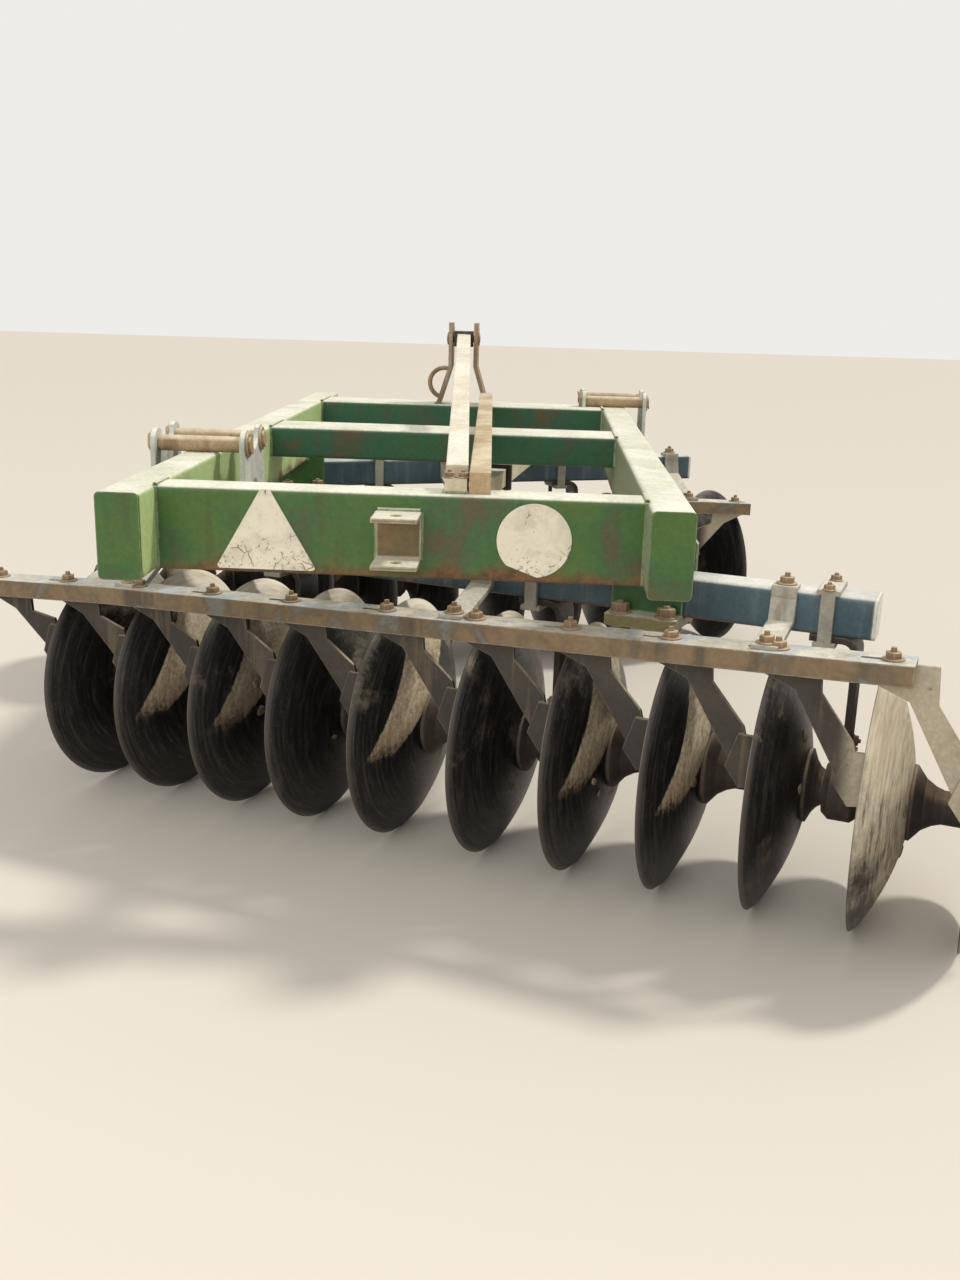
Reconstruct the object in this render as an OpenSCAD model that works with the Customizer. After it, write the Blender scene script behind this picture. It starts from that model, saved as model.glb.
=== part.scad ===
// Mounted V-type disc harrow, in millimetres.
// X is to the machine's right, Y is the way it travels, Z is up. The floor is Z = 0.

/* [Discs] */
// Diameter of one disc across its rim
disc_d = 660; // [600:5:680]
// Radius of the sphere that the disc is pressed to
dish_r = 620; // [600:10:800]
// Thickness of the disc's steel
disc_t = 6; // [4:1:9]
// Width of the ground bevel on the disc's convex side
disc_bevel = 14; // [6:1:30]
// Distance from one disc to the next along the axle
disc_pitch = 245; // [240:1:255]
// Extra distance between the fifth and the sixth disc
mid_gap = 35; // [0:1:45]

/* [Axle] */
// Side of the square gang axle
axle_side = 40; // [30:1:44]
// Radius of the spool's neck
neck_r = 41; // [38:1:48]
// Radius of the spool's bell at each disc
bell_r = 92; // [80:1:100]
// Length of the spool's bell
bell_len = 66; // [50:1:80]
// Radius of the turned journal in the bearings
journal_r = 45; // [40:1:50]
// Outer radius of the bearing housing
housing_r = 75; // [68:1:84]
// Length of the bearing housing
housing_len = 84; // [70:1:90]
// Place of each bearing's middle, beyond the rim plane of the disc before it
bearing_from_disc = 175; // [172:1:180]
// Thickness of the plates that close the ends of the gang
end_plate_t = 14; // [8:1:20]

/* [Gangs] */
// Angle between each gang and the frame's cross beams
gang_angle = 20.4; // [19.5:0.1:21]
// Side of the square gang beam
gang_beam = 100; // [90:1:104]
// Wall of the gang beam
gang_wall = 8; // [4:1:12]
// Length of each gang beam
gang_beam_len = 2035; // [2010:1:2060]
// Left end of the rear gang beam, from the middle of its disc row
rear_beam_left = -1070; // [-1085:1:-1064]
// Outer end of the front gang beam, from the middle of its disc row
front_beam_left = -1095; // [-1110:1:-1080]
// Height of the gang beams' top faces above the tops of the discs
beam_clear = 164; // [158:1:190]
// Place of the rear disc row's middle, right of the frame's centre line
rear_gang_x = 220; // [212:1:228]
// Place of the rear disc row's middle, ahead of the side beams' rear ends
rear_gang_y = 495; // [485:1:510]
// Place of the front disc row's middle, right of the frame's centre line
front_gang_x = -77; // [-84:1:-70]
// Place of the front disc row's middle, ahead of the side beams' rear ends
front_gang_y = 2339; // [2325:1:2345]

/* [Frame] */
// Length of each side beam
side_len = 2800; // [2780:1:2900]
// Width of the frame over its side beams
frame_w = 1334; // [1320:1:1345]
// Width of the side beams and the rear beam
beam_w = 100; // [90:1:106]
// Height of the side beams and the rear beam
beam_h = 200; // [180:1:220]
// Wall of the main beams
beam_wall = 8; // [4:1:12]
// Thickness of the pads between the side beams and the gang beams
pad_t = 6; // [4:1:16]
// Rear beam's rear face, ahead of the side beams' rear ends
rear_beam_y = 125; // [100:1:135]
// Middle beam's rear face, ahead of the side beams' rear ends
mid_beam_y = 1400; // [1200:1:1500]
// Front beam's rear face, ahead of the side beams' rear ends
front_beam_y = 2390; // [2370:1:2400]
// Width of the middle and front beams, which lie flat
flat_w = 200; // [190:1:210]
// Height of the middle and front beams
flat_h = 100; // [70:1:110]

/* [Scrapers] */
// Width of the scraper bar's web
bar_w = 90; // [80:1:110]
// Depth of the scraper bar's flanges
bar_h = 48; // [40:1:60]
// Thickness of the scraper bar
bar_t = 8; // [5:1:10]
// Middle of the scraper bar, behind the axle
bar_back = 240; // [236:1:255]
// Height of the bar's web above the tops of the discs, at the middle of the gang
bar_clear = 43; // [41:1:52]
// Slope of the bar along the gang, in degrees
bar_slope = 2.1; // [0:0.1:2.4]
// Place along the gang from which the bar's outer end is bent down
bar_bend_at = -1050; // [-1100:1:-1020]
// Angle by which that end is bent down, in degrees
bar_bend = 1.5; // [0:0.5:2]
// Clearance between a scraper blade and its disc
blade_gap = 8; // [6:1:15]
// Thickness of the scraper arms and blades
blade_t = 10; // [6:1:12]

/* [Hitch] */
// Height of the top link bore above the lower hitch bores
mast_h = 610; // [580:5:640]
// Distance between the lower hitch points
hitch_span = 825; // [800:1:860]
// Radius of the top link bore
top_bore_r = 12.9; // [12:0.05:16]
// Radius of the lower hitch bores
low_bore_r = 14.4; // [14:0.05:19]
// Height of the lower hitch bores above the floor
low_bore_z = 690; // [680:1:720]
// Inside gap of the lower hitch clevises
low_gap = 60; // [50:1:70]
// Inside gap of the mast's clevis
mast_gap = 84; // [78:1:100]
// Radius of the bore in the rear tow bracket
tow_bore_r = 13; // [10:0.5:18]
// Thickness of the hitch plates
plate_t = 16; // [10:1:20]

/* [Hidden] */
$fn = 64;

paint_green = "#4f8a45";
paint_blue = "#4a6680";
bare_steel = "#6b625a";
tan_steel = "#a89880";

disc_r = disc_d / 2;
dish_depth = dish_r - sqrt(dish_r * dish_r - disc_r * disc_r);
seat_gap = 0.3;
fit_gap = 0.05;
axle_hole = axle_side + 0.6;
spool_bore_r = axle_side / 2 * sqrt(2) + seat_gap;
beam_round = 12;

gang_beam_top = disc_d + beam_clear;
bar_z = disc_d + bar_clear;
frame_bottom = gang_beam_top + pad_t;
frame_top = frame_bottom + beam_h;
side_x = (frame_w - beam_w) / 2;
cross_len = frame_w - 2 * beam_w;
end_plate = 8;

// The origin is the middle of the whole harrow's box, on the floor
origin_x = (rear_gang_x + front_gang_x) / 2;
origin_y = (rear_gang_y + front_gang_y) / 2 + disc_t * sin(gang_angle);

// Place of disc k along the gang, counted from 0 at the row's outer left
disc_count = 11;
half_count = 5;
function disc_s(k) = (k - half_count) * disc_pitch + (k >= half_count ? mid_gap : -mid_gap) / 2;

// Discs that have a bearing on their convex side, for each gang
rear_bearing_discs = [2, 5, 8];
front_bearing_discs = [2, 5, 7];
function bearing_s(k) = disc_s(k) + bearing_from_disc;

module machine() {
    translate([-origin_x, -origin_y, 0]) children();
}

module rear_gang() {
    machine() translate([rear_gang_x, rear_gang_y, 0]) rotate([0, 0, -gang_angle]) children();
}

// The front gang is the rear one's mirror image, so its discs throw the soil the other way
module front_gang() {
    machine() translate([front_gang_x, front_gang_y, 0]) rotate([0, 0, gang_angle])
        mirror([1, 0, 0]) children();
}

module along_x() {
    rotate([0, 90, 0]) children();
}

// Rectangle with round corners, centred
module round_rect(w, h, r) {
    square([w - 2 * r, h], center = true);
    square([w, h - 2 * r], center = true);
    for (x = [-1, 1], y = [-1, 1]) translate([x * (w / 2 - r), y * (h / 2 - r)]) circle(r);
}

// Box section of width w and height h, running along Y from the origin
module box_beam(w, h, wall, len) {
    translate([0, len, 0]) rotate([90, 0, 0]) linear_extrude(len) difference() {
        round_rect(w, h, beam_round);
        round_rect(w - 2 * wall, h - 2 * wall, beam_round - wall / 2);
    }
}

// Plate whose outline lies in the XZ plane, as thick as t along Y, centred
module plate_xz(t) {
    translate([0, t / 2, 0]) rotate([90, 0, 0]) linear_extrude(t) children();
}

// Plate whose outline lies in the YZ plane, as thick as t along X, centred
module plate_yz(t) {
    translate([-t / 2, 0, 0]) rotate([90, 0, 90]) linear_extrude(t) children();
}

// Main frame

module side_beam(side) {
    color(paint_green) machine() translate([side * side_x, end_plate, frame_bottom + beam_h / 2])
        box_beam(beam_w, beam_h, beam_wall, side_len - 2 * end_plate);
}

module left_side_beam() side_beam(-1);

module right_side_beam() side_beam(1);

module cross_beam(y, w, h, top) {
    color(paint_green) machine() translate([-cross_len / 2, y + w / 2, top - h / 2])
        rotate([0, 0, -90]) box_beam(w, h, beam_wall, cross_len);
}

module rear_cross_beam() cross_beam(rear_beam_y, beam_w, beam_h, frame_top);

module mid_cross_beam() cross_beam(mid_beam_y, flat_w, flat_h, frame_top);

module front_cross_beam() cross_beam(front_beam_y, flat_w, flat_h, frame_top);

module gang_end_plates(left) {
    for (x = [left, left + gang_beam_len - end_plate])
        translate([x, 0, gang_beam_top - gang_beam / 2]) rotate([0, 90, 0])
            linear_extrude(end_plate) round_rect(gang_beam, gang_beam, beam_round);
}

module beam_end_plates() {
    color(paint_green) machine() for (side = [-1, 1], y = [end_plate / 2, side_len - end_plate / 2])
        translate([side * side_x, y, frame_bottom + beam_h / 2]) plate_xz(end_plate)
            round_rect(beam_w, beam_h, beam_round);
    color(paint_blue) rear_gang() gang_end_plates(rear_beam_left);
    color(paint_blue) front_gang() gang_end_plates(front_beam_left);
}

// Rear tow bracket: a U of plate welded to the rear beam, with a bore down through its lips
tow_w = 105;
tow_h = 118;
tow_depth = 110;
tow_t = 10;

module rear_tow_bracket() {
    color(tan_steel) machine() translate([0, rear_beam_y, frame_bottom + beam_h / 2])
        difference() {
            union() {
                translate([-tow_w / 2, -tow_t, -tow_h / 2]) cube([tow_w, tow_t, tow_h]);
                for (z = [-tow_h / 2, tow_h / 2 - tow_t])
                    translate([-tow_w / 2, -tow_depth, z]) cube([tow_w, tow_depth, tow_t]);
            }
            translate([0, -tow_depth + 45, -tow_h]) cylinder(r = tow_bore_r, h = 2 * tow_h);
        }
}

// Mast and its struts

mast_y = front_beam_y + 75;
mast_depth = 120;
mast_bore_z = low_bore_z + mast_h;
mast_bore_y = mast_y + 40;
strut_pin_y = mast_y - 30;
strut_pin_z = mast_bore_z - 12;
strut_pin_r = 14;
mast_foot_x = 105;
mast_spread_z = frame_top + 150;

// Each leg stands on the front beam, leans inwards and ends as one cheek of the clevis
module mast_plates() {
    inner = mast_gap / 2;
    top = mast_bore_z + 50;
    color(tan_steel) machine() difference() {
        for (side = [-1, 1]) scale([side, 1, 1]) translate([0, mast_y, 0]) plate_xz(mast_depth)
            polygon([[mast_foot_x - plate_t, frame_top], [mast_foot_x, frame_top],
                [inner + plate_t, mast_spread_z], [inner + plate_t, top],
                [inner, top], [inner, mast_spread_z]]);
        translate([-200, mast_bore_y, mast_bore_z]) along_x() cylinder(r = top_bore_r, h = 400);
        translate([-200, strut_pin_y, strut_pin_z]) along_x() cylinder(r = strut_pin_r, h = 400);
        // The cheeks' front top corners are cut back
        translate([-200, mast_y + 30, top - 8]) rotate([-35, 0, 0]) cube([400, 120, 80]);
    }
}

// Block on a pin between the cheeks, which carries the strut's top end
head_w = 76;
head_d = 46;
head_h = 60;

module mast_head() {
    color("#2c2a28") machine() {
        translate([-head_w / 2, strut_pin_y - head_d / 2, strut_pin_z - head_h / 2])
            cube([head_w, head_d, head_h]);
        translate([-mast_gap / 2 - plate_t - 8, strut_pin_y, strut_pin_z])
            along_x() cylinder(r = strut_pin_r - fit_gap, h = mast_gap + 2 * plate_t + 16);
    }
}

// A bar of width w and height h from point a to point b, both on its middle line
module bar_between(a, b, w, h) {
    d = b - a;
    flat = sqrt(d.x * d.x + d.y * d.y);
    translate(a) rotate([0, 0, atan2(d.y, d.x)]) rotate([0, -atan2(d.z, flat), 0])
        translate([0, -w / 2, -h / 2]) cube([norm(d), w, h]);
}

strut_w = 52;
strut_t = 30;
strut_foot = [128, rear_beam_y + 62, frame_top + 45];
strut_top = [0, strut_pin_y - head_d / 2 - seat_gap, strut_pin_z];

module mast_strut() {
    color(tan_steel) machine() difference() {
        bar_between(strut_foot, strut_top + [0, 40, 8], strut_w, strut_t);
        translate([-100, strut_pin_y - head_d / 2 - seat_gap, mast_bore_z - 200]) cube([200, 200, 400]);
        translate([0, rear_beam_y - 200, frame_top - 200]) cube([300, 600, 200]);
    }
    color(tan_steel) machine() translate([strut_foot.x - strut_w / 2, rear_beam_y + 20, frame_top])
        cube([strut_w, 75, 34]);
}

brace_w = 50;
brace_rear = [184, rear_beam_y + 20, frame_top + brace_w / 2];
brace_front = [98, mast_y - mast_depth / 2 - 0.3, frame_top + brace_w / 2];

module mast_brace() {
    color("#a5733f") machine() bar_between(brace_rear, brace_front, brace_w, brace_w);
}

// Thin rod bent to a half ring on the outer face of the mast's left leg, which holds the hoses up
guide_r = 9;
guide_bend = 58;
guide_z = frame_top + 84;
leg_slope = (mast_foot_x - mast_gap / 2 - plate_t) / (mast_spread_z - frame_top);

module hose_guide() {
    color(bare_steel) machine() difference() {
        translate([-mast_foot_x + (guide_z - frame_top) * leg_slope + 4, mast_y - 30, guide_z])
            rotate([0, atan(leg_slope), 0]) rotate([90, 0, 0]) rotate([0, 0, 90])
                rotate_extrude(angle = 180) translate([guide_bend, 0]) circle(guide_r);
        translate([0, mast_y, 0]) plate_xz(mast_depth + 20) polygon([[-mast_foot_x, frame_top],
            [-mast_gap / 2 - plate_t, mast_spread_z], [0, mast_spread_z], [0, frame_top]]);
    }
}

// Lower hitch: a clevis of two plates on the front beam's front face
hitch_front = front_beam_y + flat_w;
hitch_pad = 12;
low_bore_y = hitch_front + 150;

module lower_hitch(side) {
    x = side * hitch_span / 2;
    pad_w = low_gap + 2 * plate_t + 40;
    color(paint_green) machine() difference() {
        union() {
            for (s = [-1, 1]) translate([x + s * (low_gap + plate_t) / 2, 0, 0]) plate_yz(plate_t)
                polygon([[hitch_front + hitch_pad, frame_top - flat_h + 6],
                    [hitch_front + hitch_pad, frame_top - 8], [hitch_front + 70, frame_top - 8],
                    [low_bore_y + 45, low_bore_z + 110], [low_bore_y + 45, low_bore_z - 30],
                    [low_bore_y + 25, low_bore_z - 48], [low_bore_y - 25, low_bore_z - 48],
                    [low_bore_y - 45, low_bore_z - 30], [low_bore_y - 50, low_bore_z + 90]]);
            translate([x - pad_w / 2, hitch_front, frame_top - flat_h + 6])
                cube([pad_w, hitch_pad, flat_h - 14]);
        }
        translate([x - 200, low_bore_y, low_bore_z]) along_x() cylinder(r = low_bore_r, h = 400);
    }
}

module lower_hitch_left() lower_hitch(-1);

module lower_hitch_right() lower_hitch(1);

// Angle clamps: two eared plates on the gang beam, either side of the side beam,
// held down on it by two long pins across its top
pin_r = 22;
pin_z = frame_top + pin_r;
pin_gap = 170;
clamp_reach = 130;
clamp_t = 14;
ear_r = 40;
// Place where each gang crosses below a side beam, for side -1 (left) or 1 (right)
function rear_cross_y(side) = rear_gang_y + (rear_gang_x - side * side_x) * tan(gang_angle);
function front_cross_y(side) = front_gang_y + (side * side_x - front_gang_x) * tan(gang_angle);

module clamp_outline() {
    difference() {
        union() {
            for (s = [-1, 1]) translate([s * pin_gap / 2, pin_z]) circle(ear_r);
            translate([-pin_gap / 2 - ear_r, gang_beam_top]) square([pin_gap + 2 * ear_r,
                pin_z - gang_beam_top]);
        }
        // The plate is cut away between its ears, and round the middle of its foot
        translate([0, pin_z + ear_r]) circle(62);
        translate([0, gang_beam_top + 90]) circle(34);
        for (s = [-1, 1]) translate([s * pin_gap / 2, pin_z]) circle(pin_r);
    }
}

module angle_clamp(side, y) {
    color("#9aa596") machine() {
        for (s = [-1, 1])
            translate([side * side_x + s * (clamp_reach - clamp_t / 2), y, 0]) plate_yz(clamp_t)
                clamp_outline();
        translate([side * side_x - beam_w / 2, y - 40, gang_beam_top]) cube([beam_w, 80, pad_t]);
    }
}

module left_angle_clamp() angle_clamp(-1, rear_cross_y(-1));

// Its inner plate is notched over the front beam
module right_angle_clamp() difference() {
    angle_clamp(1, front_cross_y(1));
    machine() translate([-cross_len / 2, front_beam_y - 50, frame_top - flat_h - seat_gap])
        cube([cross_len, flat_w + 50 + seat_gap, flat_h + 2 * seat_gap]);
}

module clamp_pins() {
    half = clamp_reach + 12;
    color("#a08a66") machine() for (p = [[-1, rear_cross_y(-1)], [1, front_cross_y(1)]], s = [-1, 1])
        translate([p[0] * side_x - half, p[1] + s * pin_gap / 2, pin_z])
            along_x() cylinder(r = pin_r - fit_gap, h = 2 * half);
}

// Gang link: a flat tube that ties the two gang beams
link_w = 60;
link_rear = [20, rear_gang_y + (rear_gang_x - 20) * tan(gang_angle), 0];
link_front = [300, front_gang_y + (300 - front_gang_x) * tan(gang_angle), 0];

module gang_link() {
    color("#b9b2a0") machine() translate([0, 0, gang_beam_top + 30])
        bar_between(link_rear, link_front, link_w, 60);
}

module link_collar() {
    d = link_front - link_rear;
    color("#222222") machine() translate(link_rear + d * 0.56 + [0, 0, gang_beam_top + 30])
        rotate([0, 0, atan2(d.y, d.x)]) rotate([0, 90, 0]) linear_extrude(24) difference() {
            square([88, link_w + 34], center = true);
            square([60.6, link_w + 0.6], center = true);
        }
}

// Gang beams and what clamps them under the side beams

module gang_beam_tube(left) {
    color(paint_blue) translate([left + end_plate, 0, gang_beam_top - gang_beam / 2])
        rotate([0, 0, -90]) box_beam(gang_beam, gang_beam, gang_wall, gang_beam_len - 2 * end_plate);
}

module rear_gang_beam() rear_gang() gang_beam_tube(rear_beam_left);

module front_gang_beam() front_gang() gang_beam_tube(front_beam_left);

saddle_w = 180;
saddle_t = 14;
saddle_gap = 0.3;
foot_t = 12;
clamp_bar_t = 18;
flange_w = 54;
hanger_top = gang_beam_top - gang_beam;

// Two cheeks either side of the gang beam, their foot flanges, the pad and the clamp bar
module saddle() {
    cheek_y = gang_beam / 2 + saddle_gap;
    foot_z = hanger_top - 6;
    for (s = [-1, 1]) {
        translate([0, s * (cheek_y + saddle_t / 2), 0]) plate_xz(saddle_t)
            polygon([[-saddle_w / 2, foot_z], [saddle_w / 2, foot_z],
                [saddle_w / 2, frame_bottom + 60], [saddle_w / 2 - 28, frame_bottom + 95],
                [-saddle_w / 2 + 28, frame_bottom + 95], [-saddle_w / 2, frame_bottom + 60]]);
        y0 = s > 0 ? cheek_y + saddle_t : -cheek_y - saddle_t - flange_w;
        translate([-saddle_w / 2, y0, foot_z]) cube([saddle_w, flange_w, foot_t]);
    }
    bar = 2 * (cheek_y + saddle_t + flange_w);
    translate([-saddle_w / 2, -bar / 2, foot_z - clamp_bar_t]) cube([saddle_w, bar, clamp_bar_t]);
    translate([-saddle_w / 2 + 30, -gang_beam / 2, gang_beam_top])
        cube([saddle_w - 60, gang_beam, pad_t]);
}

// Saddle at place s along the gang, with its cheeks notched round the side beam
module saddle_at(s) {
    color(paint_green) translate([s, 0, 0]) difference() {
        saddle();
        translate([0, 0, frame_bottom]) rotate([0, 0, gang_angle])
            translate([-beam_w / 2, -4 * beam_w, 0]) cube([beam_w, 8 * beam_w, beam_h]);
    }
}

module rear_saddle() rear_gang() saddle_at((side_x - rear_gang_x) / cos(gang_angle));

module front_saddle() front_gang() saddle_at((side_x + front_gang_x) / cos(gang_angle));

// Hangers carry the bearings below the gang beam

hanger_t = 16;
hanger_w = 96;
hanger_reach = 110;
hanger_bend = 42;
housing_top = disc_r + housing_r - 4;

// The hanger's bent outline: a flange under the beam, a bend and a leg down to the bearing
module hanger_outline() {
    translate([-hanger_reach, hanger_top - hanger_t])
        square([hanger_reach + hanger_t / 2 - hanger_bend, hanger_t]);
    translate([hanger_t / 2 - hanger_bend, hanger_top - hanger_bend]) intersection() {
        difference() {
            circle(hanger_bend);
            circle(hanger_bend - hanger_t);
        }
        square(hanger_bend);
    }
    translate([-hanger_t / 2, housing_top - 30])
        square([hanger_t, hanger_top - hanger_bend - housing_top + 30]);
}

// The flange points to the left on the rear gang, and the other way on the front one
module hangers(discs, way) {
    color(bare_steel) for (k = discs) translate([bearing_s(k), 0, 0]) difference() {
        plate_xz(hanger_w) if (way > 0) mirror([1, 0]) hanger_outline(); else hanger_outline();
        translate([-60, 0, disc_r]) along_x() cylinder(r = housing_r, h = 120);
    }
}

module rear_hangers() rear_gang() hangers(rear_bearing_discs, -1);

module front_hangers() front_gang() hangers(front_bearing_discs, 1);

strap_bolt_at = 74;
clamp_strap_w = 32;
clamp_strap_t = 14;
clamp_plate_t = 12;

// A flat strap round the beam and the hanger's flange, with a plate above and one below
module hanger_clamps(discs, way) {
    low = hanger_top - hanger_t - clamp_plate_t;
    half = gang_beam / 2 + 0.3 + clamp_strap_t;
    color(tan_steel) for (k = discs) translate([bearing_s(k) + way * strap_bolt_at, 0, 0]) {
        for (z = [low, gang_beam_top])
            translate([-26, -half, z]) cube([52, 2 * half, clamp_plate_t]);
        for (y = [-half, half - clamp_strap_t])
            translate([-clamp_strap_w / 2, y, low])
                cube([clamp_strap_w, clamp_strap_t, gang_beam_top - low + clamp_plate_t]);
    }
}

module rear_hanger_clamps() rear_gang() hanger_clamps(rear_bearing_discs, -1);

module front_hanger_clamps() front_gang() hanger_clamps(front_bearing_discs, 1);

module bearings(discs) {
    half = housing_len / 2;
    color("#4a4038") for (k = discs) translate([bearing_s(k), 0, disc_r]) turned()
        polygon([[journal_r + fit_gap, -half], [housing_r - 14, -half], [housing_r, -half + 16],
            [housing_r, half - 16], [housing_r - 14, half], [journal_r + fit_gap, half]]);
}

module rear_bearings() rear_gang() bearings(rear_bearing_discs);

module front_bearings() front_gang() bearings(front_bearing_discs);

// Scraper bar, its straps and the scrapers

bar_right = 1073;
rear_bar_left = -1520;
front_bar_left = -1267;
// Place of a scraper's bolt, before the rim plane of its disc
bolt_back = 218;

// Height of the web's top face at place s along the gang
function bar_top(s) = bar_z + s * tan(bar_slope) - max(0, bar_bend_at - s) * tan(bar_bend);

// Side outline of the bar, from its web's top less t_top down to the flanges' edges less t_low
module bar_outline(left, right, t_top, t_low) {
    polygon([[left, bar_top(left) - t_top], [bar_bend_at, bar_top(bar_bend_at) - t_top],
        [right, bar_top(right) - t_top], [right, bar_top(right) - bar_h - t_low],
        [bar_bend_at, bar_top(bar_bend_at) - bar_h - t_low], [left, bar_top(left) - bar_h - t_low]]);
}

// Channel with its web on top, and slots along which the scrapers are set
module scraper_bar(left, first) {
    color(tan_steel) translate([0, -bar_back, 0]) difference() {
        plate_xz(bar_w) bar_outline(left, bar_right, 0, 0);
        plate_xz(bar_w - 2 * bar_t) bar_outline(left - 5, bar_right + 5, bar_t, 5);
        for (k = [first : disc_count - 1]) translate([disc_s(k) - bolt_back - 62, 0, 0]) {
            translate([0, -7, bar_top(disc_s(k) - bolt_back) - 30]) cube([62, 14, 60]);
            for (x = [0, 62]) translate([x, 0, bar_top(disc_s(k) - bolt_back) - 30])
                cylinder(r = 7, h = 60);
        }
    }
}

module rear_scraper_bar() rear_gang() scraper_bar(rear_bar_left, 0);

module front_scraper_bar() front_gang() scraper_bar(front_bar_left, 1);

strap_w = 60;
strap_t = 10;
rear_straps = [-1000, -15, 752];
front_straps = [-1000, -15, 860];

// A strap leans from the gang beam's rear face out to a foot on the scraper bar's web
module bar_straps(places, left) {
    y0 = -gang_beam / 2;
    y1 = -bar_back + bar_w / 2 - 12;
    y2 = -bar_back - bar_w / 2 + 18;
    z0 = gang_beam_top - 16;
    color(tan_steel) difference() {
        for (s = places) {
            z1 = bar_top(s);
            translate([s, 0, 0]) plate_yz(strap_w) polygon([[y0, z0], [y0 - strap_t, z0],
                [y0 - strap_t - 14, z0 - 55], [y1, z1 + strap_t], [y2, z1 + strap_t], [y2, z1 - 4],
                [y1 + strap_t - 4, z1 - 4], [y0 - 4, z0 - 62], [y0, z0 - 30]]);
        }
        translate([0, -bar_back, 0]) plate_xz(bar_w + 80) bar_outline(left, bar_right, 0, 0);
    }
}

module rear_bar_straps() rear_gang() bar_straps(rear_straps, rear_bar_left);

module front_bar_straps() front_gang() bar_straps(front_straps, front_bar_left);

// Place of the concave face, measured from the rim plane, at distance r from the axle
function concave_x(r) = dish_depth - dish_r + sqrt(pow(dish_r - disc_t, 2) - r * r);

// The same for the convex face
function convex_x(r) = dish_depth - dish_r + sqrt(dish_r * dish_r - r * r);

// Heights above the axle of the blade's lower and upper corners at the disc
blade_low = 70;
blade_high = 190;

// One scraper: a foot under the bar's web, an arm down from it and a blade at the disc's hollow side
module scraper(k) {
    s = disc_s(k);
    at = s - bolt_back;
    back = bar_back + blade_t;
    low_x = concave_x(norm([back, blade_low])) - blade_gap;
    high_x = concave_x(norm([back, blade_high])) - blade_gap;
    neck = bar_top(at) - bar_h - 42;
    translate([s, -bar_back + blade_t / 2, 0]) difference() {
        plate_xz(blade_t) polygon([
            [-bolt_back - 36, bar_top(at) + 20], [-bolt_back + 96, bar_top(at) + 20],
            [-bolt_back + 104, neck], [-34, disc_r + 206], [-10, disc_r + 120], [-24, disc_r + 92],
            [-60, disc_r + 116], [-bolt_back + 44, neck], [-bolt_back - 36, neck + 32]]);
        translate([-s, 0, 0]) plate_xz(4 * blade_t) bar_outline(rear_bar_left - 50, bar_right + 50,
            -60, bar_t - bar_h);
    }
    translate([s, -bar_back - blade_t / 2, 0]) plate_xz(blade_t) polygon([
        [-70, disc_r + 108], [-34, disc_r + blade_low - 10], [low_x, disc_r + blade_low],
        [high_x, disc_r + blade_high], [-44, disc_r + blade_high]]);
}

module scrapers(first) {
    color(bare_steel) for (k = [first : disc_count - 1]) scraper(k);
}

module rear_scrapers() rear_gang() scrapers(0);

module front_scrapers() front_gang() scrapers(1);

// What turns: axle, discs, spools and end plates

axle_end = 62;
axle_left = disc_s(0) + concave_x(0) - end_plate_t - axle_end;
axle_right = disc_s(disc_count - 1) + dish_depth + end_plate_t + axle_end;

module axle() {
    color(bare_steel) translate([axle_left, -axle_side / 2, disc_r - axle_side / 2])
        cube([axle_right - axle_left, axle_side, axle_side]);
}

module rear_axle() rear_gang() axle();

module front_axle() front_gang() axle();

// Turns a profile about the gang's axle; the profile's X is the radius, its Y runs along the axle
module turned() {
    rotate([0, 90, 0]) rotate_extrude() children();
}

// Round outline of the ball that a disc's face belongs to; the disc's rim plane is Y = 0
module dish(r) {
    translate([0, dish_depth - dish_r]) circle(r, $fn = 256);
}

module disc_profile() {
    inner = axle_side / 2 - 4;
    difference() {
        intersection() {
            dish(dish_r);
            translate([inner, -40]) square([disc_r - inner, 200]);
        }
        dish(dish_r - disc_t);
        polygon([[disc_r - disc_bevel, convex_x(disc_r - disc_bevel)], [disc_r + 1, -disc_t],
            [disc_r + 1, dish_depth]]);
    }
}

module disc() {
    difference() {
        turned() disc_profile();
        translate([0, -axle_hole / 2, -axle_hole / 2]) cube([200, axle_hole, axle_hole]);
    }
}

module discs() {
    color("#3a332d") for (k = [0 : disc_count - 1]) translate([disc_s(k), 0, disc_r]) disc();
}

module rear_discs() rear_gang() discs();

module front_discs() front_gang() discs();

// Spool between disc k and disc k + 1, shaped to the dished faces that it seats on.
// Where a bearing sits, its neck is the journal and its first bell is short.
module spool_profile(gap, bearing) {
    start = dish_depth - 20;
    stop = gap + concave_x(0) + 2;
    seat = convex_x(bell_r) + 8;
    r = bearing ? journal_r : neck_r;
    neck = bearing ? bearing_from_disc - housing_len / 2 - 6 : seat + bell_len;
    curl = (neck - seat) * 0.35;
    difference() {
        intersection() {
            polygon([[spool_bore_r, start], [bell_r, start], [bell_r, seat],
                [r + 22, seat + curl], [r + 7, seat + 2 * curl], [r, neck],
                [r, stop - bell_len], [r + 7, stop - bell_len * 0.7], [r + 22, stop - bell_len * 0.4],
                [bell_r, stop - 14], [bell_r, stop], [spool_bore_r, stop]]);
            translate([0, gap]) dish(dish_r - disc_t - seat_gap);
        }
        dish(dish_r + seat_gap);
    }
}

module spools(bearing_discs) {
    color("#33291f") for (k = [0 : disc_count - 2])
        translate([disc_s(k), 0, disc_r]) turned()
            spool_profile(disc_s(k + 1) - disc_s(k), len(search(k, bearing_discs)) > 0);
}

module rear_spools() rear_gang() spools(rear_bearing_discs);

module front_spools() front_gang() spools(front_bearing_discs);

// End plates and nuts that pull the gang together
nut_r = 34;
nut_len = 36;

module end_plate_profile() {
    polygon([[spool_bore_r, -20], [bell_r + 10, -20], [bell_r + 10, end_plate_t],
        [bell_r - 16, end_plate_t + 10], [spool_bore_r, end_plate_t + 10]]);
}

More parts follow.
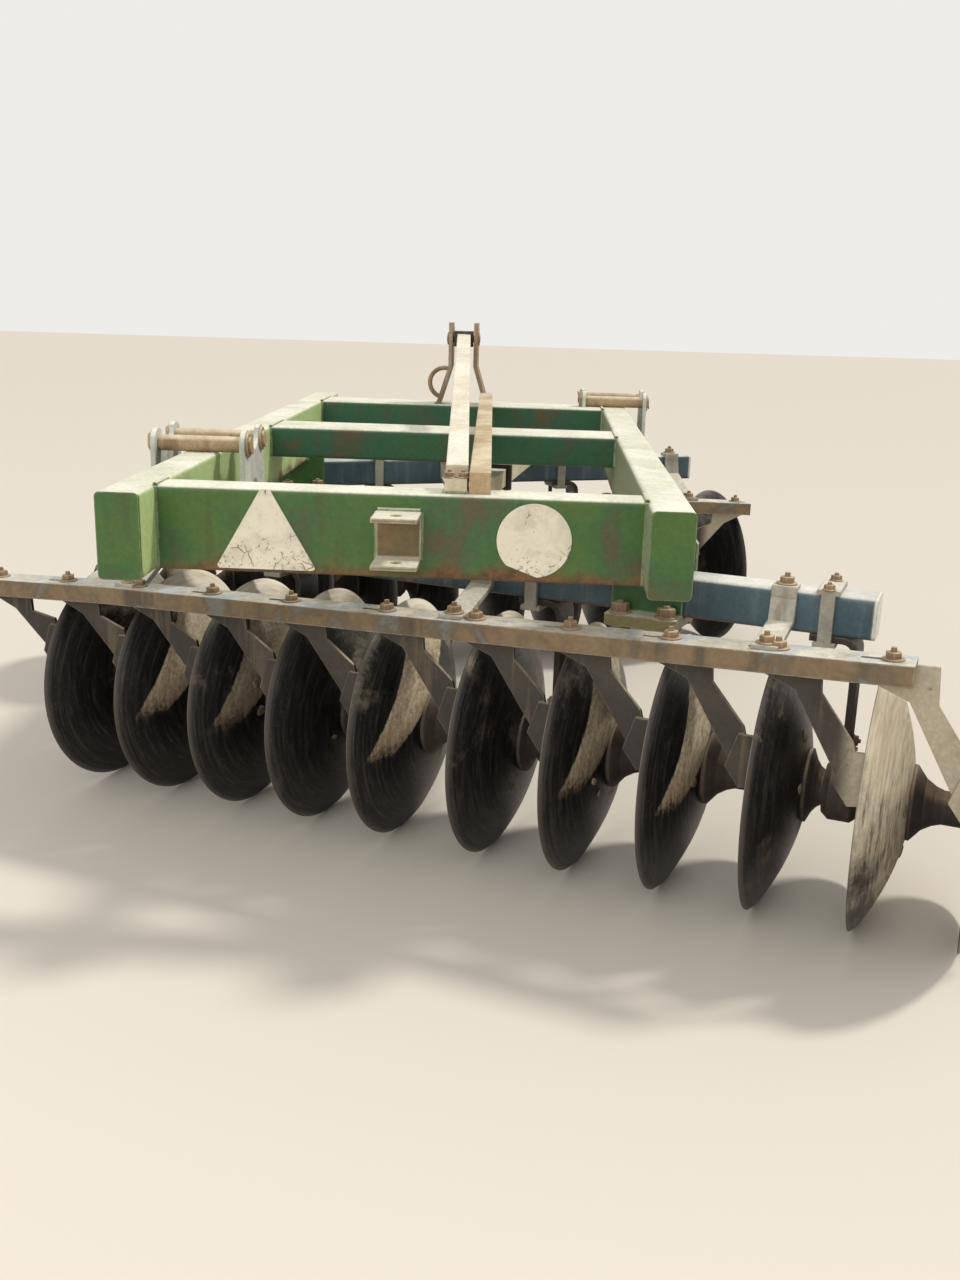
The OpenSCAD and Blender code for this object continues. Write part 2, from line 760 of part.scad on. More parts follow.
module end_nut() {
    translate([end_plate_t + 10, 0, 0]) rotate([0, 90, 0]) difference() {
        cylinder(r = nut_r, h = nut_len, $fn = 6);
        translate([0, 0, -1]) cylinder(r = spool_bore_r, h = nut_len + 2);
    }
}

module gang_ends() {
    color(bare_steel) {
        // Convex side of the last disc
        translate([disc_s(disc_count - 1), 0, disc_r]) {
            turned() difference() {
                translate([0, dish_depth]) end_plate_profile();
                dish(dish_r + seat_gap);
            }
            translate([dish_depth, 0, 0]) end_nut();
        }
        // Hollow side of the first disc
        translate([disc_s(0), 0, disc_r]) {
            turned() intersection() {
                translate([0, concave_x(0)]) mirror([0, 1]) end_plate_profile();
                dish(dish_r - disc_t - seat_gap);
            }
            translate([concave_x(0), 0, 0]) mirror([1, 0, 0]) end_nut();
        }
    }
}

module rear_gang_ends() rear_gang() gang_ends();

module front_gang_ends() front_gang() gang_ends();

left_side_beam();
right_side_beam();
rear_cross_beam();
mid_cross_beam();
front_cross_beam();
beam_end_plates();
rear_tow_bracket();
mast_plates();
mast_head();
mast_strut();
mast_brace();
hose_guide();
lower_hitch_left();
lower_hitch_right();
left_angle_clamp();
right_angle_clamp();
clamp_pins();
gang_link();
link_collar();
rear_gang_beam();
front_gang_beam();
rear_saddle();
front_saddle();
rear_hangers();
front_hangers();
rear_hanger_clamps();
front_hanger_clamps();
rear_bearings();
front_bearings();
rear_scraper_bar();
front_scraper_bar();
rear_bar_straps();
front_bar_straps();
rear_scrapers();
front_scrapers();
rear_axle();
front_axle();
rear_discs();
front_discs();
rear_spools();
front_spools();
rear_gang_ends();
front_gang_ends();
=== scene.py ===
import math
import bpy
from mathutils import Matrix, Vector


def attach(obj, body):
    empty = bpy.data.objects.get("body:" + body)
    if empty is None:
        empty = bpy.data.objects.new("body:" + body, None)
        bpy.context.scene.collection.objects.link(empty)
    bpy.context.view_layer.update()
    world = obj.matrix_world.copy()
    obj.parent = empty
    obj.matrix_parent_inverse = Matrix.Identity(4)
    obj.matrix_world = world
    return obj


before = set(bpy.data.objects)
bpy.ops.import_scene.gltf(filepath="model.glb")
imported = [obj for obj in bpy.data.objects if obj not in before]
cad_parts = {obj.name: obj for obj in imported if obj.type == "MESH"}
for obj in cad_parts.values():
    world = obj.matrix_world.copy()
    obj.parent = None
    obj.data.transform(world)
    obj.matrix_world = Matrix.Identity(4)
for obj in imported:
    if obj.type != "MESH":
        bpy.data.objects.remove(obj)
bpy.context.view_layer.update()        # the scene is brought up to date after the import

print("harrow: the frame is loaded,", len(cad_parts), "nodes")

# The harrow's own sizes in millimetres. x runs from the frame's centre line, y from the side
# beams' rear ends and z from the floor. The origin is where the shared frame has its own.
harrow = {
    "originX": 71.5, "originY": 1419.09,
    "gangAngle": 20.4, "discs": 11, "pitch": 245, "midGap": 35, "bearingOn": 175,
    "discR": 330, "dishR": 620, "discT": 6,
    "sideX": 617, "sideHalf": 50, "frameTop": 1030, "rearBeamY": 125,
}
# One gang lies behind the other and mirrors it: its middle, its side, where its bearings, straps
# and saddle are, and how much sun its discs stand in
gangs = {
    "rear": {"x": 220, "y": 495, "side": 1, "body": "rear_gang", "bearings": [2, 5, 8],
             "firstScraper": 0, "straps": [-1000, -15, 752], "clampWay": -1, "saddleAt": 423.56,
             "sunny": 1.0, "soilSeed": 0},
    "front": {"x": -77, "y": 2339, "side": -1, "body": "front_gang", "bearings": [2, 5, 7],
              "firstScraper": 1, "straps": [-1000, -15, 860], "clampWay": 1, "saddleAt": 576.1,
              "sunny": 0.0, "soilSeed": 3},
}
scraperBar = {"back": 240, "top": 703, "slope": 2.1, "bendAt": -1050, "bend": 1.5, "boltBack": 218}


def onMachine(x, y, z):  # a place on the harrow, in metres in the shared frame
    return Vector(((x - harrow["originX"]) / 1000, (y - harrow["originY"]) / 1000, z / 1000))


def discAt(k):  # how far along its gang a disc's rim lies
    return (k - 5) * harrow["pitch"] + (harrow["midGap"] if k >= 5 else -harrow["midGap"]) / 2


def bearingAt(k):
    return discAt(k) + harrow["bearingOn"]


def barTop(s):  # the scraper bar's top above the floor, lower past its bend
    bend = max(0, scraperBar["bendAt"] - s) * math.tan(math.radians(scraperBar["bend"]))
    return scraperBar["top"] + s * math.tan(math.radians(scraperBar["slope"])) - bend


def gangTurn(gang):  # how a gang stands across the frame
    return math.radians(-harrow["gangAngle"] * gang["side"])


def spun(degrees, axis="Z"):
    return Matrix.Rotation(math.radians(degrees), 4, axis)


def onFrame(x, y, z, turn=None):  # a matrix at a place on the harrow, with its own turn
    place = Matrix.Translation(onMachine(x, y, z))
    return place @ turn if turn else place


def onGang(name, s, y, z, turn=None):  # the same for a place along a gang
    gang = gangs[name]
    place = onFrame(gang["x"], gang["y"], 0, Matrix.Rotation(gangTurn(gang), 4, "Z"))
    place = place @ Matrix.Translation((gang["side"] * s / 1000, y / 1000, z / 1000))
    return place @ turn if turn else place


# Camera, sun, floor and a fill light that looks at fillAt
cameraView = {"place": (0.2405, -4.13909, 1.489), "heading": 2.36, "pitch": 15.71, "lean": 1.64,
              "lens": 47.025, "sensor": 36.0}
studio = {
    "skyLight": 0.60, "skyColour": (1.0, 0.99, 0.97, 1), "backdrop": 0.95,
    "backdropColour": (0.90, 0.885, 0.86, 1), "sun": 2.0, "sunSoft": 7, "sunFrom": (0.60, 0.26, 0.76),
    "sunColour": (1.0, 0.97, 0.91), "fill": 420, "fillSize": 8.0, "fillPlace": (-3.0, -9.0, 6.0),
    "fillAt": (0, 0, 0.4), "floor": (218, 210, 197), "floorSize": 60, "floorDrop": 0.0008,
}


def addObject(name, data):
    made = bpy.data.objects.new(name, data)
    bpy.context.collection.objects.link(made)
    return made


cameraData = bpy.data.cameras.new("harrowCamera")
cameraData.lens = cameraView["lens"]
cameraData.sensor_width = cameraView["sensor"]
cameraData.sensor_fit = "HORIZONTAL"
cameraData.clip_end = 200
camera = addObject("harrowCamera", cameraData)
aim = (Matrix.Rotation(math.radians(cameraView["heading"]), 3, "Z")
       @ Matrix.Rotation(math.radians(90 - cameraView["pitch"]), 3, "X")
       @ Matrix.Rotation(math.radians(cameraView["lean"]), 3, "Z"))
camera.rotation_euler = aim.to_euler()
camera.location = cameraView["place"]
bpy.context.scene.camera = camera
bpy.context.scene.view_settings.view_transform = "Standard"

sunData = bpy.data.lights.new("softSun", "SUN")
sunData.energy = studio["sun"]
sunData.angle = math.radians(studio["sunSoft"])
sunData.color = studio["sunColour"]
sun = addObject("softSun", sunData)
sun.rotation_euler = Vector(studio["sunFrom"]).to_track_quat("Z", "Y").to_euler()

fillData = bpy.data.lights.new("rearFill", "AREA")
fillData.energy = studio["fill"]
fillData.size = studio["fillSize"]
fill = addObject("rearFill", fillData)
fill.location = studio["fillPlace"]
fill.rotation_euler = (fill.location - Vector(studio["fillAt"])).to_track_quat("Z", "Y").to_euler()


def linear(colour):  # a screen colour of 0 to 255 as the renderer's own
    shares = [c / 255 for c in colour]
    return (*(c / 12.92 if c <= 0.04045 else ((c + 0.055) / 1.055) ** 2.4 for c in shares), 1.0)


def feed(node, inputs):  # sets each input, or links it where the value is another node's output
    for label, value in inputs.items():
        if isinstance(value, bpy.types.NodeSocket):
            node.id_data.links.new(value, node.inputs[label])
        else:
            node.inputs[label].default_value = value


def addNode(tree, kind, inputs=None, **settings):
    node = tree.nodes.new(kind)
    for key, value in settings.items():
        setattr(node, key, value)
    feed(node, inputs or {})
    return node


def treeOf(values):  # the tree of the first output among them
    return next(value.id_data for value in values if isinstance(value, bpy.types.NodeSocket))


def nextNode(kind, inputs, **settings):  # a node in the tree of what feeds it
    return addNode(treeOf(inputs.values()), kind, inputs, **settings)


def layOut(tree):  # puts each node in a column to the left of all that it feeds
    columns = {node.name: 0 for node in tree.nodes}
    for node in tree.nodes:
        for link in tree.links:
            after = columns[link.to_node.name] + 1
            columns[link.from_node.name] = max(columns[link.from_node.name], after)
    filled = {}
    for node in tree.nodes:
        column = columns[node.name]
        node.location = (-220 * column, -300 * filled.get(column, 0))
        filled[column] = filled.get(column, 0) + 1


def newFinish(name):
    finish = bpy.data.materials.new(name)
    finish.use_nodes = True
    return finish, finish.node_tree, finish.node_tree.nodes["Principled BSDF"]


def mathNode(operation, first, second, clamp=False):
    inputs = {0: first, 1: second}
    return nextNode("ShaderNodeMath", inputs, operation=operation, use_clamp=clamp).outputs[0]


def plus(first, second):
    return mathNode("ADD", first, second)


def minus(first, second):
    return mathNode("SUBTRACT", first, second)


def times(first, second, clamp=False):
    return mathNode("MULTIPLY", first, second, clamp)


skyWorld = bpy.data.worlds.new("pale studio")
bpy.context.scene.world = skyWorld
skyWorld.use_nodes = True
sky = skyWorld.node_tree
sky.nodes.clear()
skyLight = addNode(sky, "ShaderNodeBackground",
                   {"Color": studio["skyColour"], "Strength": studio["skyLight"]})
backdrop = addNode(sky, "ShaderNodeBackground",
                   {"Color": studio["backdropColour"], "Strength": studio["backdrop"]})
rays = addNode(sky, "ShaderNodeLightPath").outputs
seen = mathNode("MAXIMUM", rays["Is Camera Ray"], rays["Is Glossy Ray"])
seen = mathNode("MAXIMUM", seen, rays["Is Transmission Ray"])
skyMix = nextNode("ShaderNodeMixShader", {0: seen, 1: skyLight.outputs[0], 2: backdrop.outputs[0]})
addNode(sky, "ShaderNodeOutputWorld", {"Surface": skyMix.outputs[0]})
layOut(sky)

bpy.ops.object.select_all(action="DESELECT")
bpy.ops.mesh.primitive_plane_add(size=studio["floorSize"], location=(0, 0, -studio["floorDrop"]))
floor = bpy.context.object
floor.name = "studio_floor"
floorFinish, _, floorShader = newFinish("pale floor")
feed(floorShader, {"Base Color": linear(studio["floor"]), "Roughness": 0.9})
floor.data.materials.append(floorFinish)
print("harrow: camera, floor and light are set")


# Nodes that the finishes are built from
def vectorNode(operation, inputs):
    return nextNode("ShaderNodeVectorMath", inputs, operation=operation).outputs


def dotNode(first, second):
    return vectorNode("DOT_PRODUCT", {0: first, 1: second})["Value"]


def combineNode(inputs):
    return nextNode("ShaderNodeCombineXYZ", inputs).outputs[0]


def objectPlace(tree):  # where on the harrow a point lies, in metres
    return addNode(tree, "ShaderNodeTexCoord").outputs["Object"]


def axisOf(tree, output, axis):  # one axis of a point's place or of the way that its face looks
    coords = addNode(tree, "ShaderNodeTexCoord").outputs
    return nextNode("ShaderNodeSeparateXYZ", {0: coords[output]}).outputs[axis]


def rangeNode(value, low, high, outLow=0.0, outHigh=1.0):  # a soft step from low to high
    inputs = {"Value": value, "From Min": low, "From Max": high, "To Min": outLow, "To Max": outHigh}
    return nextNode("ShaderNodeMapRange", inputs, interpolation_type="SMOOTHSTEP").outputs["Result"]


def noiseNode(coords, scale, detail=5.0, rough=0.6, warp=0.0):
    inputs = {"Vector": coords, "Scale": scale, "Detail": detail, "Roughness": rough, "Distortion": warp}
    return nextNode("ShaderNodeTexNoise", inputs).outputs["Fac"]


def mixNode(kind, factor, first, second):
    node = addNode(treeOf((factor, first)), "ShaderNodeMix", {0: factor}, data_type=kind)
    slots = [i for i, socket in enumerate(node.inputs) if socket.type == kind][-2:]
    feed(node, dict(zip(slots, (first, second))))
    return [output for output in node.outputs if output.type == kind][0]


def mixColour(factor, first, second):  # a colour is an output or a screen colour
    first, second = (linear(value) if isinstance(value, tuple) else value for value in (first, second))
    return mixNode("RGBA", factor, first, second)


def bumpNode(height, strength, distance, more=None):
    inputs = {"Strength": strength, "Distance": distance, "Height": height, **(more or {})}
    return nextNode("ShaderNodeBump", inputs).outputs["Normal"]


def newGroup(name, inputs, masks, normals=()):
    tree = bpy.data.node_groups.new(name, "ShaderNodeTree")
    for label, value in inputs.items():
        socket = tree.interface.new_socket(name=label, in_out="INPUT", socket_type="NodeSocketFloat")
        socket.default_value = value
    for labels, kind in ((masks, "NodeSocketFloat"), (normals, "NodeSocketVector")):
        for label in labels:
            tree.interface.new_socket(name=label, in_out="OUTPUT", socket_type=kind)
    return tree, addNode(tree, "NodeGroupInput").outputs


def useGroup(tree, group, inputs):
    return addNode(tree, "ShaderNodeGroup", inputs, node_tree=group).outputs


# Blotches, fine grain and runs that follow gravity
blotches, given = newGroup("paint blotches", {"Blotch Size": 4.0, "Grain Size": 90.0, "Run Size": 30.0},
                           ("Blotch", "Grain", "Run"))
coords = objectPlace(blotches)
runMap = nextNode("ShaderNodeMapping", {"Vector": coords, "Scale": (1.0, 1.0, 0.09)})
addNode(blotches, "NodeGroupOutput", {
    "Blotch": noiseNode(coords, given["Blotch Size"], 7, 0.62, 0.4),
    "Grain": noiseNode(coords, given["Grain Size"], 4, 0.7),
    "Run": noiseNode(runMap.outputs["Vector"], given["Run Size"], 3, 0.55)})

# Edges where the paint has gone: the rounded normal turns away from the face's own
edgeWear, given = newGroup("edge wear", {"Width": 0.006, "Break Up": 0.5}, ("Edge",), ("Round",))
rounded = nextNode("ShaderNodeBevel", {"Radius": given["Width"]}, samples=4).outputs["Normal"]
face = addNode(edgeWear, "ShaderNodeNewGeometry").outputs["True Normal"]
lift = times(minus(1.0, dotNode(rounded, face)), 7.0, True)
chips = rangeNode(noiseNode(objectPlace(edgeWear), 38, 5, 0.7), 0.38, 0.60)
chipped = times(chips, given["Break Up"])
shown = plus(chipped, minus(1.0, given["Break Up"]))
addNode(edgeWear, "NodeGroupOutput", {"Edge": times(lift, shown, True), "Round": rounded})

# Painted sunlight, with some dust, on what faces up: those faces take pale colours, broken in patches
paintedSunlitTops, given = newGroup("painted sunlit tops", {"Amount": 1.0, "Patchy": 0.3}, ("Top",))
upward = rangeNode(axisOf(paintedSunlitTops, "Normal", "Z"), 0.35, 0.85)
patches = rangeNode(noiseNode(objectPlace(paintedSunlitTops), 9, 6, 0.65), 0.36, 0.60)
lost = times(minus(1.0, patches), given["Patchy"])
top = times(upward, minus(1.0, lost))
addNode(paintedSunlitTops, "NodeGroupOutput", {"Top": times(top, given["Amount"], True)})

# Rust that creeps up from a lower edge and breaks out in spots
rustCreep, given = newGroup("rust creep", {"Amount": 0.5, "Low From": 0.83, "Low To": 0.93, "Spots": 0.5},
                            ("Rust", "Dark"))
coords = objectPlace(rustCreep)
height = rangeNode(axisOf(rustCreep, "Object", "Z"), given["Low From"], given["Low To"], 1.0, 0.0)
cloud = noiseNode(coords, 7, 8, 0.66, 0.6)
spots = noiseNode(coords, 34, 6, 0.7)
whole = plus(cloud, times(height, 0.42))
whole = plus(whole, times(given["Amount"], 0.34))
spotSum = plus(spots, times(given["Spots"], 0.16))
spotMask = rangeNode(spotSum, 0.68, 0.80, 0.0, 0.7)
addNode(rustCreep, "NodeGroupOutput", {
    "Rust": mathNode("MAXIMUM", rangeNode(whole, 0.64, 1.02), spotMask),
    "Dark": rangeNode(spots, 0.44, 0.60)})
for group in (blotches, edgeWear, paintedSunlitTops, rustCreep):
    layOut(group)
print("harrow: shared effects are built")

# What a painted or rusty finish has unless its own look says otherwise. Rust thickens downwards from
# the height lowTo to lowFrom, in metres, and both lie below the floor here.
usualLook = {
    "blotch": 4.0, "grain": 90.0, "run": 30.0, "runs": 0.5, "edge": 0.7, "edgeWide": 0.006, "edgeBreak": 0.6,
    "rust": 0.4, "lowFrom": -1.0, "lowTo": -0.9, "spots": 0.4, "paintedSun": 0.9, "patchy": 0.3,
    "dull": 0.5, "rustDull": 0.88, "relief": 0.25, "reliefDeep": 0.002}


def weatheredFinish(name, look):
    look = {**usualLook, **look}
    finish, tree, shader = newFinish(name)
    paint = useGroup(tree, blotches, {"Blotch Size": look["blotch"], "Grain Size": look["grain"],
                                      "Run Size": look["run"]})
    wear = useGroup(tree, edgeWear, {"Width": look["edgeWide"], "Break Up": look["edgeBreak"]})
    rust = useGroup(tree, rustCreep, {"Amount": look["rust"], "Low From": look["lowFrom"],
                                      "Low To": look["lowTo"], "Spots": look["spots"]})
    light = useGroup(tree, paintedSunlitTops, {"Amount": look["paintedSun"], "Patchy": look["patchy"]})
    tint = rangeNode(paint["Blotch"], 0.40, 0.62)
    colour = mixColour(tint, look["base"], look["shade"])
    streak = rangeNode(paint["Run"], 0.52, 0.70, 0.0, look["runs"])
    colour = mixColour(streak, colour, look["runColour"])
    if "smudge" in look:
        cloudy = rangeNode(paint["Blotch"], 0.51, 0.64, 0.0, look["smudgeMost"])
        colour = mixColour(cloudy, colour, look["smudge"])
    if "paintedLightSide" in look:  # one side painted paler, as painted light where light falls on it
        sideways = times(axisOf(tree, "Normal", "X"), look["paintedLightFacing"])
        colour = mixColour(rangeNode(sideways, 0.5, 0.8, 0.0, 0.85), colour, look["paintedLightSide"])
    if "under" in look:  # a second colour below a height: on the beam ends it is painted sunlight on the gang beams' end plates, on the saddles a tan lower part
        edge = look["underFrom"]
        lower = rangeNode(axisOf(tree, "Object", "Z"), edge, edge + 0.002, 1.0, 0.0)
        colour = mixColour(lower, colour, look["under"])
    if "ends" in look:  # painted sunlight from a place on to the right, as on the outermost scrapers
        edge = look["endsFrom"]
        outer = rangeNode(axisOf(tree, "Object", "X"), edge, edge + 0.05, 0.0, 0.75)
        colour = mixColour(outer, colour, look["ends"])
    rusty = mixColour(rust["Dark"], look["rustLight"], look["rustDark"])
    colour = mixColour(rust["Rust"], colour, rusty)
    # Faces turned up take the top colours, as painted sunlight
    colour = mixColour(light["Top"], colour, mixColour(tint, look["top"], look["topShade"]))
    colour = mixColour(times(wear["Edge"], look["edge"]), colour, look["edgeColour"])
    speck = rangeNode(paint["Grain"], 0.30, 0.75, 0.86, 1.12)
    toned = nextNode("ShaderNodeHueSaturation", {"Value": speck, "Color": colour})
    relief = plus(times(rust["Rust"], -0.6), paint["Grain"])
    feed(shader, {
        "Base Color": toned.outputs["Color"],
        "Roughness": rangeNode(rust["Rust"], 0.0, 1.0, look["dull"], look["rustDull"]),
        "Normal": bumpNode(relief, look["relief"], look["reliefDeep"], {"Normal": wear["Round"]})})
    if "metal" in look:
        feed(shader, {"Metallic": rangeNode(rust["Rust"], 0.0, 0.7, look["metal"], 0.0)})
    layOut(tree)
    return finish


# Finishes of the CAD nodes, in screen colours. In each look, top and topShade are the pale colours of painted
# sunlight on what faces up.
bareRust = {"rustLight": (150, 104, 66), "rustDark": (100, 70, 46)}
greenLook = {
    "base": (65, 97, 33), "shade": (39, 89, 48), "runColour": (68, 73, 35), "runs": 0.6,
    "smudge": (86, 70, 38), "smudgeMost": 0.85, "rustLight": (114, 80, 52), "rustDark": (86, 62, 42),
    "rust": 0.22, "lowFrom": 0.812, "lowTo": 0.90, "spots": 0.12,
    "top": (244, 240, 222), "topShade": (226, 226, 200), "paintedSun": 0.96, "patchy": 0.15,
    "edgeColour": (200, 200, 164), "edge": 0.6, "edgeWide": 0.005}
blueLook = {
    "base": (74, 97, 106), "shade": (56, 79, 89), "runColour": (108, 118, 118),
    **bareRust, "rust": 0.05, "lowFrom": 0.712, "lowTo": 0.75, "spots": 0.1,
    "top": (240, 236, 224), "topShade": (214, 214, 206), "paintedSun": 0.95, "patchy": 0.2,
    "edgeColour": (204, 202, 190), "dull": 0.45}
wornLook = {
    "base": (200, 204, 194), "shade": (172, 178, 166), "runColour": (164, 136, 100),
    **bareRust, "rust": 0.2, "spots": 0.3, "top": (240, 236, 220), "topShade": (220, 215, 194),
    "paintedSun": 0.92, "patchy": 0.25, "edgeColour": (228, 220, 198), "edge": 0.6, "dull": 0.55}
towLook = {
    **wornLook, "base": (116, 100, 64), "shade": (92, 88, 50), "runColour": (142, 98, 62), "rust": 0.45,
    "top": (240, 234, 216), "topShade": (222, 214, 192), "patchy": 0.1,
    "edge": 1.0, "edgeWide": 0.009, "edgeBreak": 0.2}
bleachedLook = {
    "base": (212, 202, 176), "shade": (196, 184, 156), "runColour": (180, 152, 116), "runs": 0.4,
    **bareRust, "rust": 0.1, "spots": 0.3, "top": (242, 237, 219), "topShade": (228, 218, 194),
    "edgeColour": (236, 228, 208), "edge": 0.4, "dull": 0.6}
tanLook = {
    "base": (168, 144, 110), "shade": (140, 116, 84), "runColour": (106, 82, 58), "runs": 0.6,
    "rustLight": (150, 106, 68), "rustDark": (106, 78, 54), "rust": 0.3,
    "top": (226, 212, 182), "topShade": (192, 170, 134), "paintedSun": 0.85, "patchy": 0.35,
    "edgeColour": (208, 192, 162), "edge": 0.5, "dull": 0.65}
strapLook = {
    **tanLook, "base": (176, 172, 158), "shade": (146, 142, 128), "runColour": (132, 112, 86),
    "top": (236, 230, 212), "topShade": (210, 202, 182), "rust": 0.15}
blackLook = {
    "base": (48, 46, 45), "shade": (64, 60, 55), "runColour": (92, 80, 66),
    "rustLight": (108, 82, 58), "rustDark": (66, 52, 42), "rust": 0.3, "spots": 0.35,
    "top": (170, 156, 132), "topShade": (132, 116, 94), "paintedSun": 0.8, "patchy": 0.4,
    "edgeColour": (142, 132, 114), "edge": 0.5, "dull": 0.55, "metal": 0.3}
barLook = {
    "base": (122, 102, 74), "shade": (90, 75, 53), "runColour": (64, 56, 46), "runs": 0.8, "run": 12.0,
    "smudge": (124, 130, 128), "smudgeMost": 0.6, "blotch": 9.0,
    "rustLight": (150, 106, 68), "rustDark": (104, 80, 56), "rust": 0.25, "spots": 0.35,
    "top": (236, 229, 208), "topShade": (192, 198, 196), "paintedSun": 0.95, "patchy": 0.42,
    "edgeColour": (222, 214, 194), "edge": 0.6}
scraperLook = {
    # The dark base is partly painted shade, as the arms stand in shade
    "base": (64, 57, 50), "shade": (48, 43, 38), "runColour": (104, 88, 68), "runs": 0.6,
    # ends is painted sunlight on the outermost scrapers
    "ends": (192, 180, 156), "endsFrom": 0.93,
    "rustLight": (108, 80, 56), "rustDark": (64, 50, 38), "rust": 0.25, "spots": 0.35,
    "top": (206, 190, 160), "topShade": (172, 154, 126), "paintedSun": 0.85, "patchy": 0.4,
    "edgeColour": (170, 156, 132), "edgeWide": 0.004, "dull": 0.55, "metal": 0.15}
castLook = {
    "base": (50, 44, 39), "shade": (72, 61, 51), "runColour": (104, 88, 70), "runs": 0.3,
    "rustLight": (100, 75, 54), "rustDark": (60, 46, 38), "rust": 0.25, "spots": 0.3,
    "top": (176, 156, 126), "topShade": (136, 116, 92), "paintedSun": 0.7, "patchy": 0.5,
    "edgeColour": (140, 124, 104), "edge": 0.4, "dull": 0.7, "relief": 0.5}
boltLook = {
    "base": (142, 116, 88), "shade": (116, 94, 70), "runColour": (92, 74, 58), "runs": 0.4,
    "rustLight": (140, 100, 68), "rustDark": (96, 70, 50), "rust": 0.3, "blotch": 22.0,
    "top": (216, 194, 160), "topShade": (180, 150, 114), "paintedSun": 0.8, "patchy": 0.35,
    "edgeColour": (214, 196, 164), "edge": 0.6, "edgeWide": 0.003, "dull": 0.7, "relief": 0.4}
noCreep = {"lowFrom": usualLook["lowFrom"], "lowTo": usualLook["lowTo"]}  # no rust from below

looks = {  # each finish by its name
    "frame green": greenLook,
    # Painted sunlight: the gang beams' end plates, below underFrom, are painted pale as sunlit
    "beam ends": {**greenLook, **noCreep, "smudgeMost": 0.6, "under": (214, 212, 202), "underFrom": 0.826,
                  "rust": 0.1},
    # Painted light: the side beams' inner faces are painted paler, the left one as sunlit
    "left side green": {**greenLook, "paintedLightSide": (184, 206, 142), "paintedLightFacing": 1.0},
    "right side green": {**greenLook, "paintedLightSide": (150, 160, 126), "paintedLightFacing": -1.0},
    # Painted shade: the mid and front cross beams are painted darker and more teal, as they stand in shade
    "green in painted shade": {**greenLook, "base": (40, 90, 52), "shade": (28, 84, 62)},
    "mast rust": {**tanLook, "base": (168, 146, 116), "shade": (128, 106, 82), "runColour": (190, 178, 154)},
    "tan brace": {**tanLook, "base": (194, 172, 134), "shade": (174, 148, 110), "runColour": (150, 116, 80)},
    "saddle green": {**greenLook, **noCreep, "base": (58, 106, 48), "smudgeMost": 0.3,
                     "under": (134, 122, 80), "underFrom": 0.7305, "edge": 0.9, "edgeWide": 0.008},
    "tow bracket": towLook,
    "hitch green": {**greenLook, "lowFrom": 0.63, "lowTo": 0.78},
    "gang blue": blueLook, "worn plate": wornLook, "bleached bar": bleachedLook, "tan rusty bar": tanLook,
    "pale strap": strapLook, "black steel": blackLook, "scraper bar zinc": barLook,
    "scraper steel": scraperLook, "cast iron": castLook, "bolt rust": boltLook,
}
finishes = {name: weatheredFinish(name, look) for name, look in looks.items()}

discLook = {
    # dark is the steel darkened as painted shade
    "dark": (23, 23, 24), "steel": (74, 70, 66), "brown": (66, 54, 44), "rim": (104, 98, 90),
    # dry and the two colours after it are painted sunlight on the wedge
    "damp": (112, 98, 80), "dry": (220, 206, 176), "dryDark": (166, 144, 112), "dustBrown": (122, 98, 74),
    # beige and beigeDark are painted sunlight on the outermost discs, pale and paleDark that on the tops
    "beige": (214, 202, 178), "beigeDark": (184, 168, 142), "pale": (238, 229, 210),
    "paleDark": (214, 202, 180)}
# Where wear, soil and the painted sunlight on the outermost discs lie, in metres from the axle or along the
# gang, and how fine the marks are
discWear = {"rimBand": (0.318, 0.329), "hubBand": (0.10, 0.17), "outermost": (0.96, 1.0),
            "rings": 150.0, "arcs": 95.0, "arcBreaks": 2.4, "clouds": 6.0, "grain": 85}
# Where the sun reaches past the scrapers, painted as a pale sunlit wedge: two lines across the disc, each by
# its inward normal (y, z) and a point (y, z) in metres from the axle, and how strong on which disc.
# A dish's middle lies past its rim, and what is within its reach of that counts as the disc.
paintedSunWedge = {"lines": (((0.805, -0.593), (-0.04, 0.31)), ((-0.622, 0.784), (0.075, 0.16))),
            "discs": {1: 0.85, 2: 0.5, 4: 1.0, 6: 0.75, 7: 0.95}, "dishMiddle": 0.045, "dishReach": 0.075}
# Where the tops stand in the sun above the scraper bar: a level that leans along and across the gang
sunCrest = {"leans": (-0.03, 0.26, 1.0), "from": 0.286, "to": 0.304}


